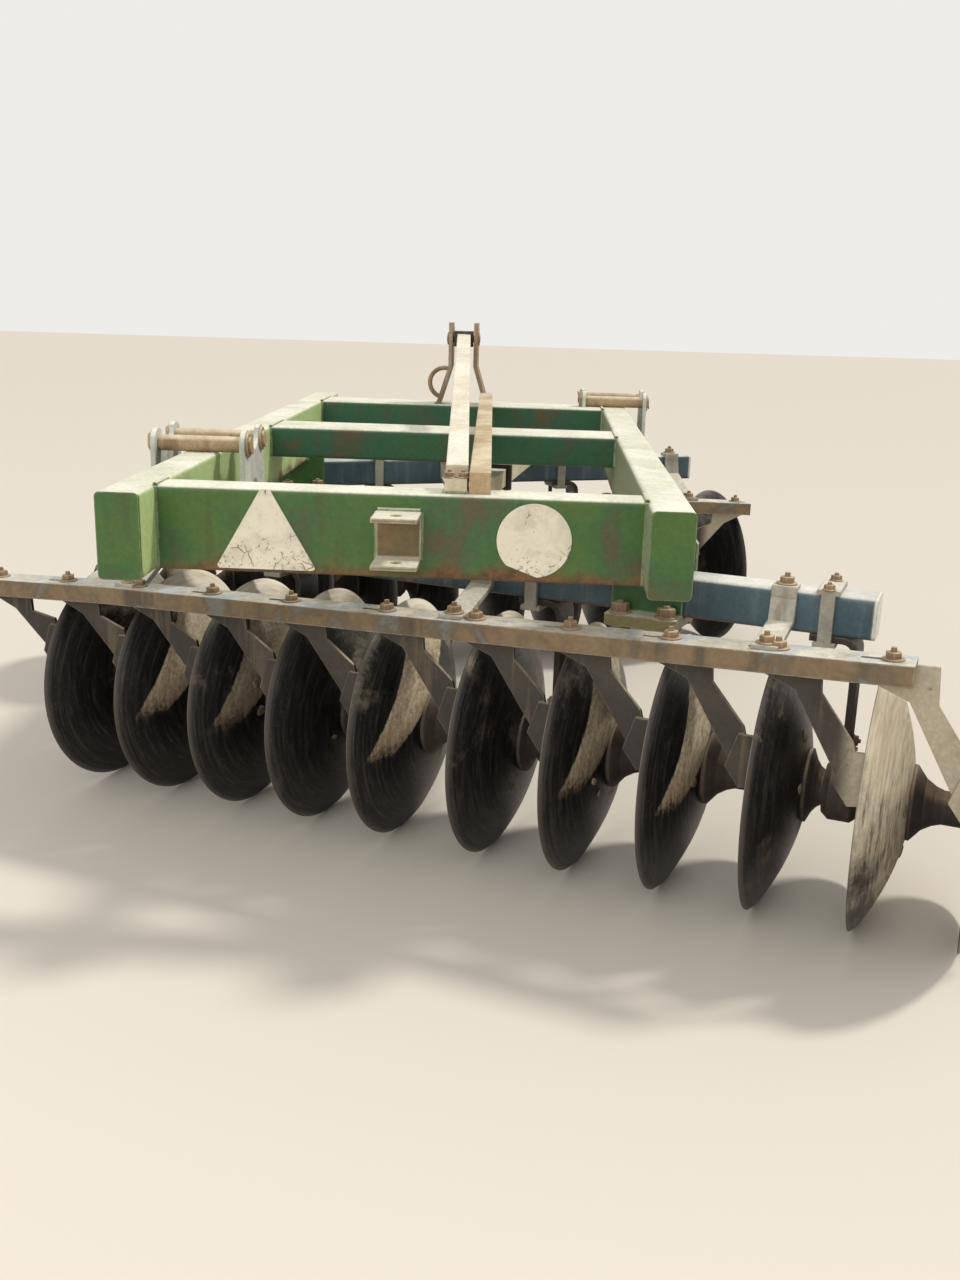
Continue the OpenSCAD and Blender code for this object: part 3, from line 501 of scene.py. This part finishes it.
def discFinish(name, gang, look):
    finish, tree, shader = newFinish(name)
    coords = addNode(tree, "ShaderNodeTexCoord").outputs
    along = addNode(tree, "ShaderNodeMapping", {
        "Vector": coords["Object"], "Location": onMachine(gang["x"], gang["y"], harrow["discR"]),
        "Rotation": (0, 0, gangTurn(gang)), "Scale": (gang["side"], 1, 1)}, vector_type="TEXTURE").outputs[0]
    axes = nextNode("ShaderNodeSeparateXYZ", {0: along}).outputs
    across = combineNode({"Y": axes["Y"], "Z": axes["Z"]})
    far = vectorNode("LENGTH", {0: across})["Value"]

    # Scratches in rings and broken arcs round the axle, as soil wears a turning disc. The place along
    # the gang gives each disc its own.
    ring = combineNode({"X": times(far, discWear["rings"]), "Y": times(axes["X"], 5.0)})
    rings = noiseNode(ring, 1.0, 5, 0.7)
    around = vectorNode("NORMALIZE", {0: across})["Vector"]
    drawn = vectorNode("SCALE", {0: around, "Scale": discWear["arcBreaks"]})["Vector"]
    outward = plus(times(far, discWear["arcs"]), times(axes["X"], 7.0))
    swept = vectorNode("ADD", {0: drawn, 1: combineNode({"X": outward})})["Vector"]
    streaks = noiseNode(swept, 1.0, 7, 0.68, 0.3)
    cloud = noiseNode(along, discWear["clouds"], 6, 0.6)
    fine = noiseNode(coords["Object"], discWear["grain"], 6, 0.75)
    scratch = plus(times(rings, 0.4), times(streaks, 0.6))
    colour = mixColour(rangeNode(scratch, 0.45, 0.70), look["dark"], look["steel"])
    colour = mixColour(rangeNode(fine, 0.52, 0.68, 0.0, 0.7), colour, look["brown"])
    rim = rangeNode(far, *discWear["rimBand"], 0.0, 0.55)
    colour = mixColour(rim, colour, look["rim"])

    # 1 on the bulging side of the dish, which the photo shows, and 0 in the hollow
    axle = (gang["side"] * math.cos(gangTurn(gang)), gang["side"] * math.sin(gangTurn(gang)), 0)
    bulging = rangeNode(dotNode(coords["Normal"], axle), -0.05, 0.15)

    # Damp soil by the hub, and painted sunlight on the outermost discs: pale, most of all high up, broken by
    # dark streaks
    hub = rangeNode(far, *discWear["hubBand"], 0.08, 0.0)
    level = plus(plus(cloud, times(fine, 0.20)), hub)
    soil = rangeNode(level, 0.68, 0.88, 0.0, 0.8)
    colour = mixColour(soil, colour, look["damp"])
    through = rangeNode(streaks, 0.46, 0.74, 0.0, 0.4)
    dried = minus(rangeNode(axes["X"], *discWear["outermost"]), through)
    for source, share in ((axes["Z"], 1.7), (axes["Y"], 0.9), (cloud, 1.6), (fine, 0.5)):
        dried = plus(dried, times(source, share))
    dried = rangeNode(dried, 1.25, 2.15, 0.0, 0.95)
    dried = times(dried, rangeNode(bulging, 0.0, 1.0, 0.4, 1.0))

    # The painted sunlit wedge, ragged and browner at its lower end
    wedge = rangeNode(axes["Z"], -0.15, 0.05)
    for normal, point in paintedSunWedge["lines"]:
        inward = dotNode(along, (0, *normal))
        inward = minus(inward, normal[0] * point[0] + normal[1] * point[1])
        wedge = times(wedge, rangeNode(inward, -0.006, 0.014))
    chosen = 0.0
    for k, strength in paintedSunWedge["discs"].items():
        disc = {0: axes["X"], 1: discAt(k) / 1000 + paintedSunWedge["dishMiddle"], 2: paintedSunWedge["dishReach"]}
        near = nextNode("ShaderNodeMath", disc, operation="COMPARE").outputs[0]
        chosen = plus(chosen, times(near, strength * gang["sunny"]))
    chosen = times(chosen, bulging)
    grit = plus(fine, times(streaks, 0.8))
    broken = plus(wedge, times(grit, 0.6))
    wedge = times(rangeNode(broken, 1.04, 1.46), chosen)
    sunlitWedgeTone = mixColour(rangeNode(grit, 0.72, 1.08), look["dryDark"], look["dry"])
    lowEnd = rangeNode(axes["Z"], -0.08, 0.14, 0.9, 0.0)
    sunlitWedgeTone = mixColour(lowEnd, sunlitWedgeTone, look["dustBrown"])

    # The tops that stand in the sun
    ragged = plus(dotNode(along, sunCrest["leans"]), times(streaks, 0.03))
    crest = rangeNode(ragged, sunCrest["from"], sunCrest["to"], 0.0, gang["sunny"])
    crest = times(crest, bulging)
    sunlitOuterTone = mixColour(rangeNode(streaks, 0.36, 0.66), look["beige"], look["beigeDark"])
    paleTone = mixColour(rangeNode(streaks, 0.40, 0.66), look["pale"], look["paleDark"])
    # The soil and the painted sunlight of the wedge, the outermost discs and the tops are laid over the
    # colour, and the roughness follows them all
    soilAndSunlitCover = soil
    for cover, tone in ((wedge, sunlitWedgeTone), (dried, sunlitOuterTone), (crest, paleTone)):
        colour = mixColour(cover, colour, tone)
        soilAndSunlitCover = mathNode("MAXIMUM", soilAndSunlitCover, cover)
    wear = useGroup(tree, edgeWear, {"Width": 0.003, "Break Up": 0.3})
    colour = mixColour(times(wear["Edge"], 0.5), colour, look["rim"])
    relief = plus(times(soil, 1.2), fine)
    relief = plus(relief, times(rings, 0.3))
    feed(shader, {
        "Base Color": colour, "Normal": bumpNode(relief, 0.3, 0.003),
        "Roughness": rangeNode(soilAndSunlitCover, 0, 1, 0.42, 0.92),
        "Metallic": rangeNode(soilAndSunlitCover, 0, 0.6, 0.4, 0.0)})
    layOut(tree)
    return finish


for name, gang in gangs.items():
    finishes[name + " disc steel"] = discFinish(name + " disc steel", gang, discLook)

soilLook = {"dry": (146, 128, 104), "damp": (98, 82, 64), "clods": 40, "grit": 260, "dull": 0.95}


def soilOf(name, look):
    finish, tree, shader = newFinish(name)
    coords = objectPlace(tree)
    clods = noiseNode(coords, look["clods"], 8, 0.7, 0.5)
    grit = noiseNode(coords, look["grit"], 4, 0.7)
    feed(shader, {
        "Base Color": mixColour(rangeNode(clods, 0.38, 0.62), look["damp"], look["dry"]),
        "Roughness": look["dull"], "Normal": bumpNode(plus(clods, grit), 0.8, 0.004)})
    layOut(tree)
    return finish


plateLook = {"cream": (222, 214, 194), "smear": (202, 194, 174), "crack": (128, 112, 92),
             "stain": (164, 140, 108), "smears": 16, "pits": 120, "cells": 19, "dull": 0.6}


def crackedPlate(name, look):  # cream paint that has cracked and pitted, most of all low down
    finish, tree, shader = newFinish(name)
    coords = objectPlace(tree)
    cloud = noiseNode(coords, look["smears"], 6, 0.6, 0.7)
    fine = noiseNode(coords, look["pits"], 5, 0.7)
    warp = nextNode("ShaderNodeTexNoise", {"Vector": coords, "Scale": 14}).outputs["Color"]
    bent = mixNode("VECTOR", 0.06, coords, warp)
    cells = nextNode("ShaderNodeTexVoronoi", {"Vector": bent, "Scale": look["cells"]},
                     feature="DISTANCE_TO_EDGE").outputs["Distance"]
    low = rangeNode(axisOf(tree, "Object", "Z"), 0.86, 0.95, 0.10, -0.04)
    crack = times(rangeNode(cells, 0.004, 0.03, 1.0, 0.0), rangeNode(plus(cloud, low), 0.53, 0.60))
    pits = rangeNode(plus(fine, low), 0.66, 0.72, 0.0, 0.75)
    colour = mixColour(rangeNode(cloud, 0.40, 0.62), look["cream"], look["smear"])
    colour = mixColour(rangeNode(fine, 0.60, 0.70, 0.0, 0.55), colour, look["stain"])
    colour = mixColour(mathNode("MAXIMUM", crack, pits), colour, look["crack"])
    feed(shader, {"Base Color": colour, "Roughness": look["dull"],
                        "Normal": bumpNode(minus(fine, crack), 0.4, 0.001)})
    layOut(tree)
    return finish


finishes["dried soil"] = soilOf("dried soil", soilLook)
finishes["cracked cream plate"] = crackedPlate("cracked cream plate", plateLook)

# The finish of each node, frame green where none is named, and of those that each gang has
nodeFinishes = {
    "left_side_beam": "left side green", "right_side_beam": "right side green",
    "mid_cross_beam": "green in painted shade", "front_cross_beam": "green in painted shade", "beam_end_plates": "beam ends",
    "lower_hitch_left": "hitch green", "lower_hitch_right": "hitch green",
    "left_angle_clamp": "worn plate", "right_angle_clamp": "worn plate", "mast_plates": "mast rust",
    "rear_tow_bracket": "tow bracket", "mast_strut": "bleached bar", "gang_link": "bleached bar",
    "mast_brace": "tan brace", "clamp_pins": "tan rusty bar", "hose_guide": "tan rusty bar",
    "mast_head": "black steel", "link_collar": "black steel",
}
gangFinishes = {
    "saddle": "saddle green", "gang_beam": "gang blue", "hangers": "black steel",
    "hanger_clamps": "pale strap", "bar_straps": "pale strap", "scraper_bar": "scraper bar zinc",
    "scrapers": "scraper steel", "bearings": "cast iron", "axle": "cast iron", "spools": "cast iron",
    "gang_ends": "cast iron",
}
for name in gangs:
    nodeFinishes[name + "_discs"] = name + " disc steel"
    for part, finish in gangFinishes.items():
        nodeFinishes[name + "_" + part] = finish
for name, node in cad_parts.items():
    finish = finishes[nodeFinishes.get(name, "frame green")]
    if node.material_slots:
        for materialSlot in node.material_slots:
            materialSlot.material = finish
    else:
        node.data.materials.append(finish)
print("harrow: finishes are on the nodes")


# Making and placing pieces
def leaveEdit():
    bpy.ops.object.mode_set(mode="OBJECT")


def clearSelection():
    if bpy.context.object and bpy.context.object.mode != "OBJECT":
        leaveEdit()
    bpy.ops.object.select_all(action="DESELECT")


def choose(*pieces):  # selects them, and the first is the active one
    clearSelection()
    for piece in pieces:
        piece.select_set(True)
    bpy.context.view_layer.objects.active = pieces[0]


def pick(piece, kind, wanted):  # leaves only the wanted faces or edges selected, in edit mode
    leaveEdit()
    mesh = piece.data
    for part in (mesh.vertices, mesh.edges, mesh.polygons):
        for item in part:
            item.select = False
    if kind == "FACE":  # by its middle and its normal
        for item in mesh.polygons:
            item.select = bool(wanted(item.center, item.normal))
    else:  # an edge by its two ends
        for item in mesh.edges:
            item.select = bool(wanted(*(mesh.vertices[i].co for i in item.vertices)))
    bpy.ops.object.mode_set(mode="EDIT")
    bpy.ops.mesh.select_mode(type=kind)


def pickAll():
    bpy.ops.object.mode_set(mode="EDIT")
    bpy.ops.mesh.select_all(action="SELECT")


def pull(x, y, z):  # extrudes what is selected
    bpy.ops.mesh.extrude_region_move(TRANSFORM_OT_translate={"value": (x, y, z)})


def named(name):  # the active piece, such as the newest primitive
    piece = bpy.context.object
    piece.name = name
    piece.data.name = name
    return piece


def cylinder(name, sides, radius, high, **stands):
    clearSelection()
    bpy.ops.mesh.primitive_cylinder_add(vertices=sides, radius=radius, depth=high, **stands)
    return named(name)


def softEdges(piece, width, segments):
    rounding = piece.modifiers.new("soft edges", "BEVEL")
    rounding.width = width
    rounding.segments = segments
    rounding.limit_method = "ANGLE"
    bpy.ops.object.modifier_apply(modifier=rounding.name)


def settle(piece, body, finish, smooth=35):  # finish, body and slot of a done piece
    choose(piece)
    bpy.ops.object.transform_apply(location=True, rotation=True, scale=True)
    bpy.ops.object.shade_smooth_by_angle(angle=math.radians(smooth))
    piece.data.materials.clear()
    piece.data.materials.append(finishes[finish])
    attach(piece, body)


# One piece of many copies, each of them with its own mesh
def setOut(name, source, places, finish="bolt rust", body="frame", smooth=35):
    made = []
    for place in places:
        twin = addObject(source.name, source.data.copy())
        twin.data.transform(place)
        made.append(twin)
    choose(*made)
    if len(made) > 1:
        bpy.ops.object.join()
    settle(named(name), body, finish, smooth)


def putAway(*sources):
    for source in sources:
        mesh = source.data
        bpy.data.objects.remove(source)
        bpy.data.meshes.remove(mesh)


def standOn(direction):  # turns +Z to point that way
    return Vector((0, 0, 1)).rotation_difference(Vector(direction).normalized()).to_matrix().to_4x4()


# Bolts, nuts and washers, in metres
scraperBoltSize = {"across": 0.036, "head": 0.014, "stud": 0.010, "washer": 0.050, "washerThick": 0.004}
saddleBoltSize = {"across": 0.046, "head": 0.020, "stud": 0.006, "washer": 0.056, "washerThick": 0.004}
smallBoltSize = {"across": 0.026, "head": 0.010, "stud": 0.006, "washer": 0.032, "washerThick": 0.003}
boltShape = {"rounding": 0.05, "ledge": 0.2, "taper": 0.86, "washerEdge": 0.0009}


def hexBolt(name, size):
    high = size["head"]
    foot = size["washerThick"]
    bolt = cylinder(name, 6, size["across"] / 2, high, location=(0, 0, foot + high / 2))
    bpy.ops.object.transform_apply(location=True, rotation=False, scale=False)
    pick(bolt, "EDGE", lambda a, b: a.z > high * 0.9 and b.z > high * 0.9)
    bpy.ops.mesh.bevel(offset=size["across"] * boltShape["rounding"], segments=2, affect="EDGES")
    pick(bolt, "FACE", lambda c, n: n.z > 0.95 and c.z > high)
    bpy.ops.mesh.inset(thickness=size["across"] * boltShape["ledge"], depth=0)
    pull(0, 0, size["stud"])
    taper = boltShape["taper"]
    bpy.ops.transform.resize(value=(taper, taper, 1), center_override=(0, 0, foot + high))
    bpy.ops.mesh.select_all(action="DESELECT")
    bpy.ops.mesh.primitive_cylinder_add(vertices=20, radius=size["washer"] / 2, depth=foot,
                                        location=(0, 0, foot / 2))
    bpy.ops.mesh.bevel(offset=boltShape["washerEdge"], segments=1, affect="EDGES")
    leaveEdit()
    return bolt


scraperBolt = hexBolt("scraperBoltMaster", scraperBoltSize)
saddleBolt = hexBolt("saddleBoltMaster", saddleBoltSize)
smallBolt = hexBolt("smallBoltMaster", smallBoltSize)

# Where they stand, in millimetres along the gang or out to each side, forward and up from the floor
strapNuts = {"footY": 2, "footUp": 10, "topY": -32, "topZ": 834}
clampNuts = {"along": 74, "across": 57.3, "z": 836, "turn": 0.2}
hangerBolts = {"out": 8, "across": 30, "z": 452}
saddleBolts = {"along": 58, "across": 92, "topZ": 730, "underZ": 700, "turn": 0.3}
hitchBolts = {"x": 412.5, "apart": 58, "y": 2602, "heights": (952, 1000)}
strutBolts = {"x": 128, "apart": 16, "y": 162, "z": 1064}
bothSides = (-1, 1)
corners = [(a, b) for a in bothSides for b in bothSides]

for name, gang in gangs.items():
    lean = spun(-scraperBar["slope"] * gang["side"], "Y")
    barY = -scraperBar["back"]
    places = []
    for k in range(gang["firstScraper"], harrow["discs"]):
        s = discAt(k) - scraperBar["boltBack"]
        places.append(onGang(name, s, barY, barTop(s), lean @ spun(37 * k % 60)))
    setOut(name + "_scraper_bolts", scraperBolt, places)

    places = [onGang(name, s, barY + strapNuts["footY"], barTop(s) + strapNuts["footUp"], lean)
              for s in gang["straps"]]
    places += [onGang(name, s, strapNuts["topY"], strapNuts["topZ"]) for s in gang["straps"]]
    setOut(name + "_strap_nuts", scraperBolt, places)

    places = []
    for k in gang["bearings"]:
        s = bearingAt(k) + gang["clampWay"] * clampNuts["along"]
        turn = Matrix.Rotation(clampNuts["turn"] * k, 4, "Z")
        places += [onGang(name, s, way * clampNuts["across"], clampNuts["z"], turn) for way in bothSides]
    setOut(name + "_hanger_clamp_nuts", smallBolt, places)

    places = []
    for k in gang["bearings"]:
        for way, side in corners:
            s = bearingAt(k) + side * hangerBolts["out"]
            turn = standOn((side * gang["side"], 0, 0))
            places.append(onGang(name, s, way * hangerBolts["across"], hangerBolts["z"], turn))
    setOut(name + "_hanger_bolts", smallBolt, places)

    places = []
    for side in bothSides:
        along = side * saddleBolts["along"]
        turn = Matrix.Rotation(saddleBolts["turn"] + along, 4, "Z")  # so that the heads don't all stand alike
        for way in bothSides:
            y = way * saddleBolts["across"]
            s = gang["saddleAt"] + along
            places += [onGang(name, s, y, saddleBolts["topZ"], turn),
                       onGang(name, s, y, saddleBolts["underZ"], spun(180, "X"))]
    setOut(name + "_saddle_bolts", saddleBolt, places)

places = []
for side, way in corners:
    x = side * hitchBolts["x"] + way * hitchBolts["apart"]
    places += [onFrame(x, hitchBolts["y"], z, standOn((0, 1, 0))) for z in hitchBolts["heights"]]
setOut("lower_hitch_bolts", smallBolt, places)
places = [onFrame(strutBolts["x"] + way * strutBolts["apart"], strutBolts["y"], strutBolts["z"])
          for way in bothSides]
setOut("strut_foot_bolts", smallBolt, places)
print("harrow: bolts and nuts are in")

# Strap clips over the gang beams' rear edges, in metres, with their place in millimetres
clipSize = {"wide": 0.060, "deep": 0.050, "thick": 0.010, "lip": 0.018, "lipDeep": 0.011, "edge": 0.0022,
            "y": -12, "z": 824.2}

clearSelection()
bpy.ops.mesh.primitive_cube_add(size=1, location=(0, -clipSize["deep"] / 2, clipSize["thick"] / 2))
clip = named("strapClipMaster")
clip.scale = (clipSize["wide"], clipSize["deep"], clipSize["thick"])
bpy.ops.object.transform_apply(location=True, rotation=False, scale=True)
lipEdge = -clipSize["deep"] + clipSize["lipDeep"]
pickAll()
bpy.ops.mesh.bisect(plane_co=(0, lipEdge, 0), plane_no=(0, 1, 0))
pick(clip, "FACE", lambda c, n: n.z < -0.9 and c.y < lipEdge)
pull(0, 0, -clipSize["lip"])
leaveEdit()
softEdges(clip, clipSize["edge"], 2)
for name, gang in gangs.items():
    places = [onGang(name, s, clipSize["y"], clipSize["z"]) for s in gang["straps"]]
    setOut(name + "_strap_clips", clip, places, "pale strap")

# Rings and linch pins on the ends of the angle clamps' long pins, and rings on the mast's pin, in
# metres, with their places in millimetres. Each clamp is given by its side and its middle.
ringSize = {"outer": 0.034, "inner": 0.0225, "thick": 0.006, "edge": 0.0012}
linchSize = {"radius": 0.024, "wire": 0.0024, "flat": 0.82, "out": 5.5, "tilt": 78, "turn": 20}
clampPins = {"clamps": ((-1, 806.3), (1, 2597.1)), "apart": 85, "reach": 133.2, "z": 1052}
mastPin = {"reach": 61.5, "y": 2435, "z": 1288, "shrink": (0.72, 0.72, 0.9, 1)}

ring = cylinder("pinRingMaster", 40, ringSize["outer"], ringSize["thick"])
pick(ring, "FACE", lambda c, n: abs(n.z) > 0.9)
bpy.ops.mesh.inset(thickness=ringSize["outer"] - ringSize["inner"], use_individual=True)
bpy.ops.mesh.bridge_edge_loops()
leaveEdit()
softEdges(ring, ringSize["edge"], 1)

clearSelection()
bpy.ops.mesh.primitive_torus_add(major_radius=linchSize["radius"], minor_radius=linchSize["wire"],
                                 major_segments=28, minor_segments=8)
linch = named("linchPinMaster")
pickAll()
bpy.ops.transform.resize(value=(1.0, linchSize["flat"], 1.0), center_override=(0, 0, 0))
leaveEdit()

pinEnds = []
linchEnds = []
for side, middle in clampPins["clamps"]:
    for way, end in corners:
        x = side * harrow["sideX"] + end * clampPins["reach"]
        y = middle + way * clampPins["apart"]
        pinEnds.append(onFrame(x, y, clampPins["z"], standOn((end, 0, 0))))
        hung = spun(linchSize["tilt"], "Y") @ spun(linchSize["turn"] * end)
        linchEnds.append(onFrame(x + end * linchSize["out"], y, clampPins["z"], hung))
setOut("clamp_pin_rings", ring, pinEnds, "tan rusty bar")
setOut("clamp_pin_linch_pins", linch, linchEnds)
headEnds = [onFrame(end * mastPin["reach"], mastPin["y"], mastPin["z"],
                    standOn((end, 0, 0)) @ Matrix.Diagonal(mastPin["shrink"])) for end in bothSides]
setOut("mast_pin_rings", ring, headEnds)
print("harrow: clips, rings and pins are in")

# Weld beads, modelled once as a rippled run of 100 mm and laid between two places, each by its x, y
# and z in millimetres. gap and short are in millimetres too.
weldSize = {"radius": 0.0052, "ripple": 0.0045, "length": 0.1, "swell": 1.22, "uneven": 0.06, "gap": 4}
crossBeams = (  # each by its rear face, depth and underside, and how its beads run
    {"y": harrow["rearBeamY"], "deep": 100, "under": 830, "short": 2, "frontBead": True},
    {"y": 1400, "deep": 200, "under": 930, "short": 3, "frontBead": True},
    {"y": 2390, "deep": 200, "under": 930, "short": 3, "frontBead": False})
sideBeads = (((106, 2410, 1031), (106, 2520, 1031)),  # both feet of the mast
             ((52.5, 125, 874), (52.5, 125, 986)))  # both cheeks of the tow bracket
otherBeads = (((102, 147, 1030), (102, 218, 1030)),  # three round the strut's foot
              ((154, 147, 1030), (154, 218, 1030)),
              ((104, 144, 1030), (152, 144, 1030)),
              ((-50, 124, 990), (50, 124, 990)))  # over the tow bracket

clearSelection()
bpy.ops.mesh.primitive_circle_add(vertices=8, radius=weldSize["radius"], fill_type="NGON", location=(0, 0, 0))
weld = named("weldMaster")
pickAll()
ripples = int(weldSize["length"] / weldSize["ripple"])
weldLength = 0
for i in range(ripples * 2):
    weldLength += weldSize["ripple"] / 2
    grow = 1 / weldSize["swell"]
    if i % 2 == 0:
        grow = weldSize["swell"] + weldSize["uneven"] * math.sin(i * 1.7)
    pull(0, 0, weldSize["ripple"] / 2)
    bpy.ops.transform.resize(value=(grow, grow, 1), center_override=(0, 0, weldLength))
bpy.ops.mesh.select_all(action="SELECT")
bpy.ops.mesh.normals_make_consistent(inside=False)
leaveEdit()


def weldRun(a, b, side=1):  # a matrix that lays the run from a to b, or mirrored
    a = onMachine(side * a[0], a[1], a[2])
    along = onMachine(side * b[0], b[1], b[2]) - a
    return Matrix.Translation(a) @ standOn(along) @ Matrix.Diagonal((1, 1, along.length / weldLength, 1))


welds = []
innerX = harrow["sideX"] - harrow["sideHalf"]
high = harrow["frameTop"]
gap = weldSize["gap"]
for side in bothSides:
    for beam in crossBeams:
        back, front = beam["y"], beam["y"] + beam["deep"]
        foot = beam["under"] + gap
        short = beam["short"]
        welds.append(weldRun((innerX, back, foot), (innerX, back, high - gap), side))
        welds.append(weldRun((innerX, back + short, high), (innerX, front - short, high), side))
        if beam["frontBead"]:
            welds.append(weldRun((innerX, front, foot), (innerX, front, high - gap), side))
    welds += [weldRun(a, b, side) for a, b in sideBeads]
welds += [weldRun(a, b) for a, b in otherBeads]
setOut("frame_weld_beads", weld, welds, "frame green", smooth=60)
print("harrow: welds are in")

# Grease nipples on the bearings, in metres, with their place in millimetres
nippleSize = {"radius": 0.0065, "high": 0.012, "step": 0.0025, "neck": 0.005, "head": 0.003,
              "along": 24, "y": -47, "z": 390, "tilt": 38}

nipple = cylinder("greaseNippleMaster", 12, nippleSize["radius"], nippleSize["high"])
pick(nipple, "FACE", lambda c, n: n.z > 0.9)
bpy.ops.mesh.inset(thickness=nippleSize["step"])
pull(0, 0, nippleSize["neck"])
pull(0, 0, nippleSize["head"])
bpy.ops.transform.resize(value=(0.5, 0.5, 1), center_override=(0, 0, 0))
leaveEdit()
tilt = spun(nippleSize["tilt"], "X")
for name, gang in gangs.items():
    places = [onGang(name, bearingAt(k) + nippleSize["along"], nippleSize["y"], nippleSize["z"], tilt)
              for k in gang["bearings"]]
    setOut(name + "_grease_nipples", nipple, places)

# Blank plates on the rear beam: x and z in millimetres, sizes in metres
roundPlate = {"x": 313, "z": 930, "off": 1.8, "radius": 0.0865, "thick": 0.003, "border": 0.004,
              "sunk": 0.0006, "edge": 0.0008,
              "chips": (((-0.045, -0.066, 0), (-0.35, -0.94, 0)), ((-0.075, -0.046, 0), (-0.86, -0.52, 0)))}
trianglePlate = {"x": -310.5, "base": 840, "off": 1.8, "side": 0.239, "thick": 0.003, "border": 0.003,
                 "sunk": 0.0005, "cut": 0.0195, "corner": 0.012, "topCorner": 0.004,
                 "notch": 0.012, "notchWide": 0.42, "notchX": 0.001, "notchOut": 0.0005}


def finishPlate(plate, size, z):  # sinks the face in its border and sets the plate on the beam
    pick(plate, "FACE", lambda c, n: n.z > 0.9)
    bpy.ops.mesh.inset(thickness=size["border"], depth=-size["sunk"])
    leaveEdit()
    if "edge" in size:
        softEdges(plate, size["edge"], 2)
    plate.data.transform(onFrame(size["x"], harrow["rearBeamY"] - size["off"], z, spun(90, "X")))
    settle(plate, "frame", "cracked cream plate")


plate = cylinder("round_plate", 72, roundPlate["radius"], roundPlate["thick"])
for spot, away in roundPlate["chips"]:  # broken edges
    pickAll()
    bpy.ops.mesh.bisect(plane_co=spot, plane_no=away, use_fill=True, clear_outer=True)
finishPlate(plate, roundPlate, roundPlate["z"])

tipY = trianglePlate["side"] / math.sqrt(3)
cutY = tipY - trianglePlate["cut"]
triangle = cylinder("triangle_plate", 3, tipY, trianglePlate["thick"])
pickAll()
bpy.ops.mesh.bisect(plane_co=(0, cutY, 0), plane_no=(0, 1, 0), use_fill=True, clear_outer=True)
pick(triangle, "EDGE", lambda a, b: abs(a.z - b.z) > 0.001 and a.y < 0)
bpy.ops.mesh.bevel(offset=trianglePlate["corner"], segments=5, affect="EDGES")
pick(triangle, "EDGE", lambda a, b: abs(a.z - b.z) > 0.001 and a.y > 0.05)
bpy.ops.mesh.bevel(offset=trianglePlate["topCorner"], segments=2, affect="EDGES")
notchAt = (trianglePlate["notchX"], cutY - trianglePlate["notchOut"], 0)
notch = cylinder("notchCutter", 3, trianglePlate["notch"], 0.02, location=notchAt, rotation=(0, 0, math.pi))
notch.scale = (trianglePlate["notchWide"], 1.0, 1.0)
choose(triangle)
cutting = triangle.modifiers.new("notch", "BOOLEAN")
cutting.object = notch
cutting.operation = "DIFFERENCE"
bpy.ops.object.modifier_apply(modifier=cutting.name)
putAway(notch)
finishPlate(triangle, trianglePlate, trianglePlate["base"] + tipY * 500)
print("harrow: blank plates are on")

# Dried soil on the discs: reach in millimetres from the axle and sizes in metres, from least to most
soilSizes = {"perSide": 2, "reach": (102, 152), "wide": (0.007, 0.019), "thick": (0.0025, 0.005),
             "long": (0.6, 1.1), "wavy": 0.22, "rough": 0.06}


def spread(seed):  # a repeatable number from 0 to 1
    return (math.sin(seed * 12.9898) * 43758.5453) % 1.0


def between(ends, seed):
    return ends[0] + (ends[1] - ends[0]) * spread(seed)


def soilLump(name, seed):
    clearSelection()
    bpy.ops.mesh.primitive_ico_sphere_add(subdivisions=3, radius=1)
    lump = named(name)
    for i, v in enumerate(lump.data.vertices):
        wave = (math.sin(v.co.x * 4.1 + seed) + math.sin(v.co.y * 5.3 + seed * 2)
                + math.sin(v.co.z * 3.7 + seed * 3)) / 3
        v.co *= 1 + soilSizes["wavy"] * wave + soilSizes["rough"] * (spread(i + seed * 100) - 0.5)
    return lump


lumps = [soilLump("soilLumpMaster" + str(i), i + 1.5) for i in range(3)]


def faceAt(r):  # the concave face's place from the rim plane, at that distance from the axle
    depth = harrow["dishR"] - math.sqrt(harrow["dishR"] ** 2 - harrow["discR"] ** 2)
    inner = harrow["dishR"] - harrow["discT"]
    return depth - harrow["dishR"] + math.sqrt(inner ** 2 - r * r)


def soilPlace(name, k, side, seed):  # a lump on one side of a disc, pressed flat on its face
    r = between(soilSizes["reach"], seed)
    angle = 2 * math.pi * spread(seed + 0.5)
    tip = r / harrow["dishR"]
    out = (side * math.cos(tip) * gangs[name]["side"], side * math.cos(angle) * math.sin(tip),
           side * math.sin(angle) * math.sin(tip))
    wide = between(soilSizes["wide"], seed + 0.7)
    deep = wide * between(soilSizes["long"], seed + 1.3)
    shape = Matrix.Diagonal((wide, deep, between(soilSizes["thick"], seed + 0.9), 1))
    s = discAt(k) + faceAt(r) + (harrow["discT"] if side > 0 else 0)
    turn = standOn(out) @ Matrix.Rotation(angle * 3, 4, "Z") @ shape
    return onGang(name, s, r * math.cos(angle), harrow["discR"] + r * math.sin(angle), turn)


for name, gang in gangs.items():
    lumpSets = [[], [], []]
    for k in range(harrow["discs"]):
        for i in range(soilSizes["perSide"] * 2):
            side = 1 if i % 2 else -1  # the dish's bulging side or its hollow
            lumpSets[i % 3].append(soilPlace(name, k, side, k * 17 + i * 5 + gang["soilSeed"]))
    for lump, letter, places in zip(lumps, "abc", lumpSets):
        setOut(name + "_soil_" + letter, lump, places, "dried soil", gang["body"], 60)
putAway(scraperBolt, saddleBolt, smallBolt, clip, ring, linch, weld, nipple, *lumps)
print("harrow: dried soil is on the discs")
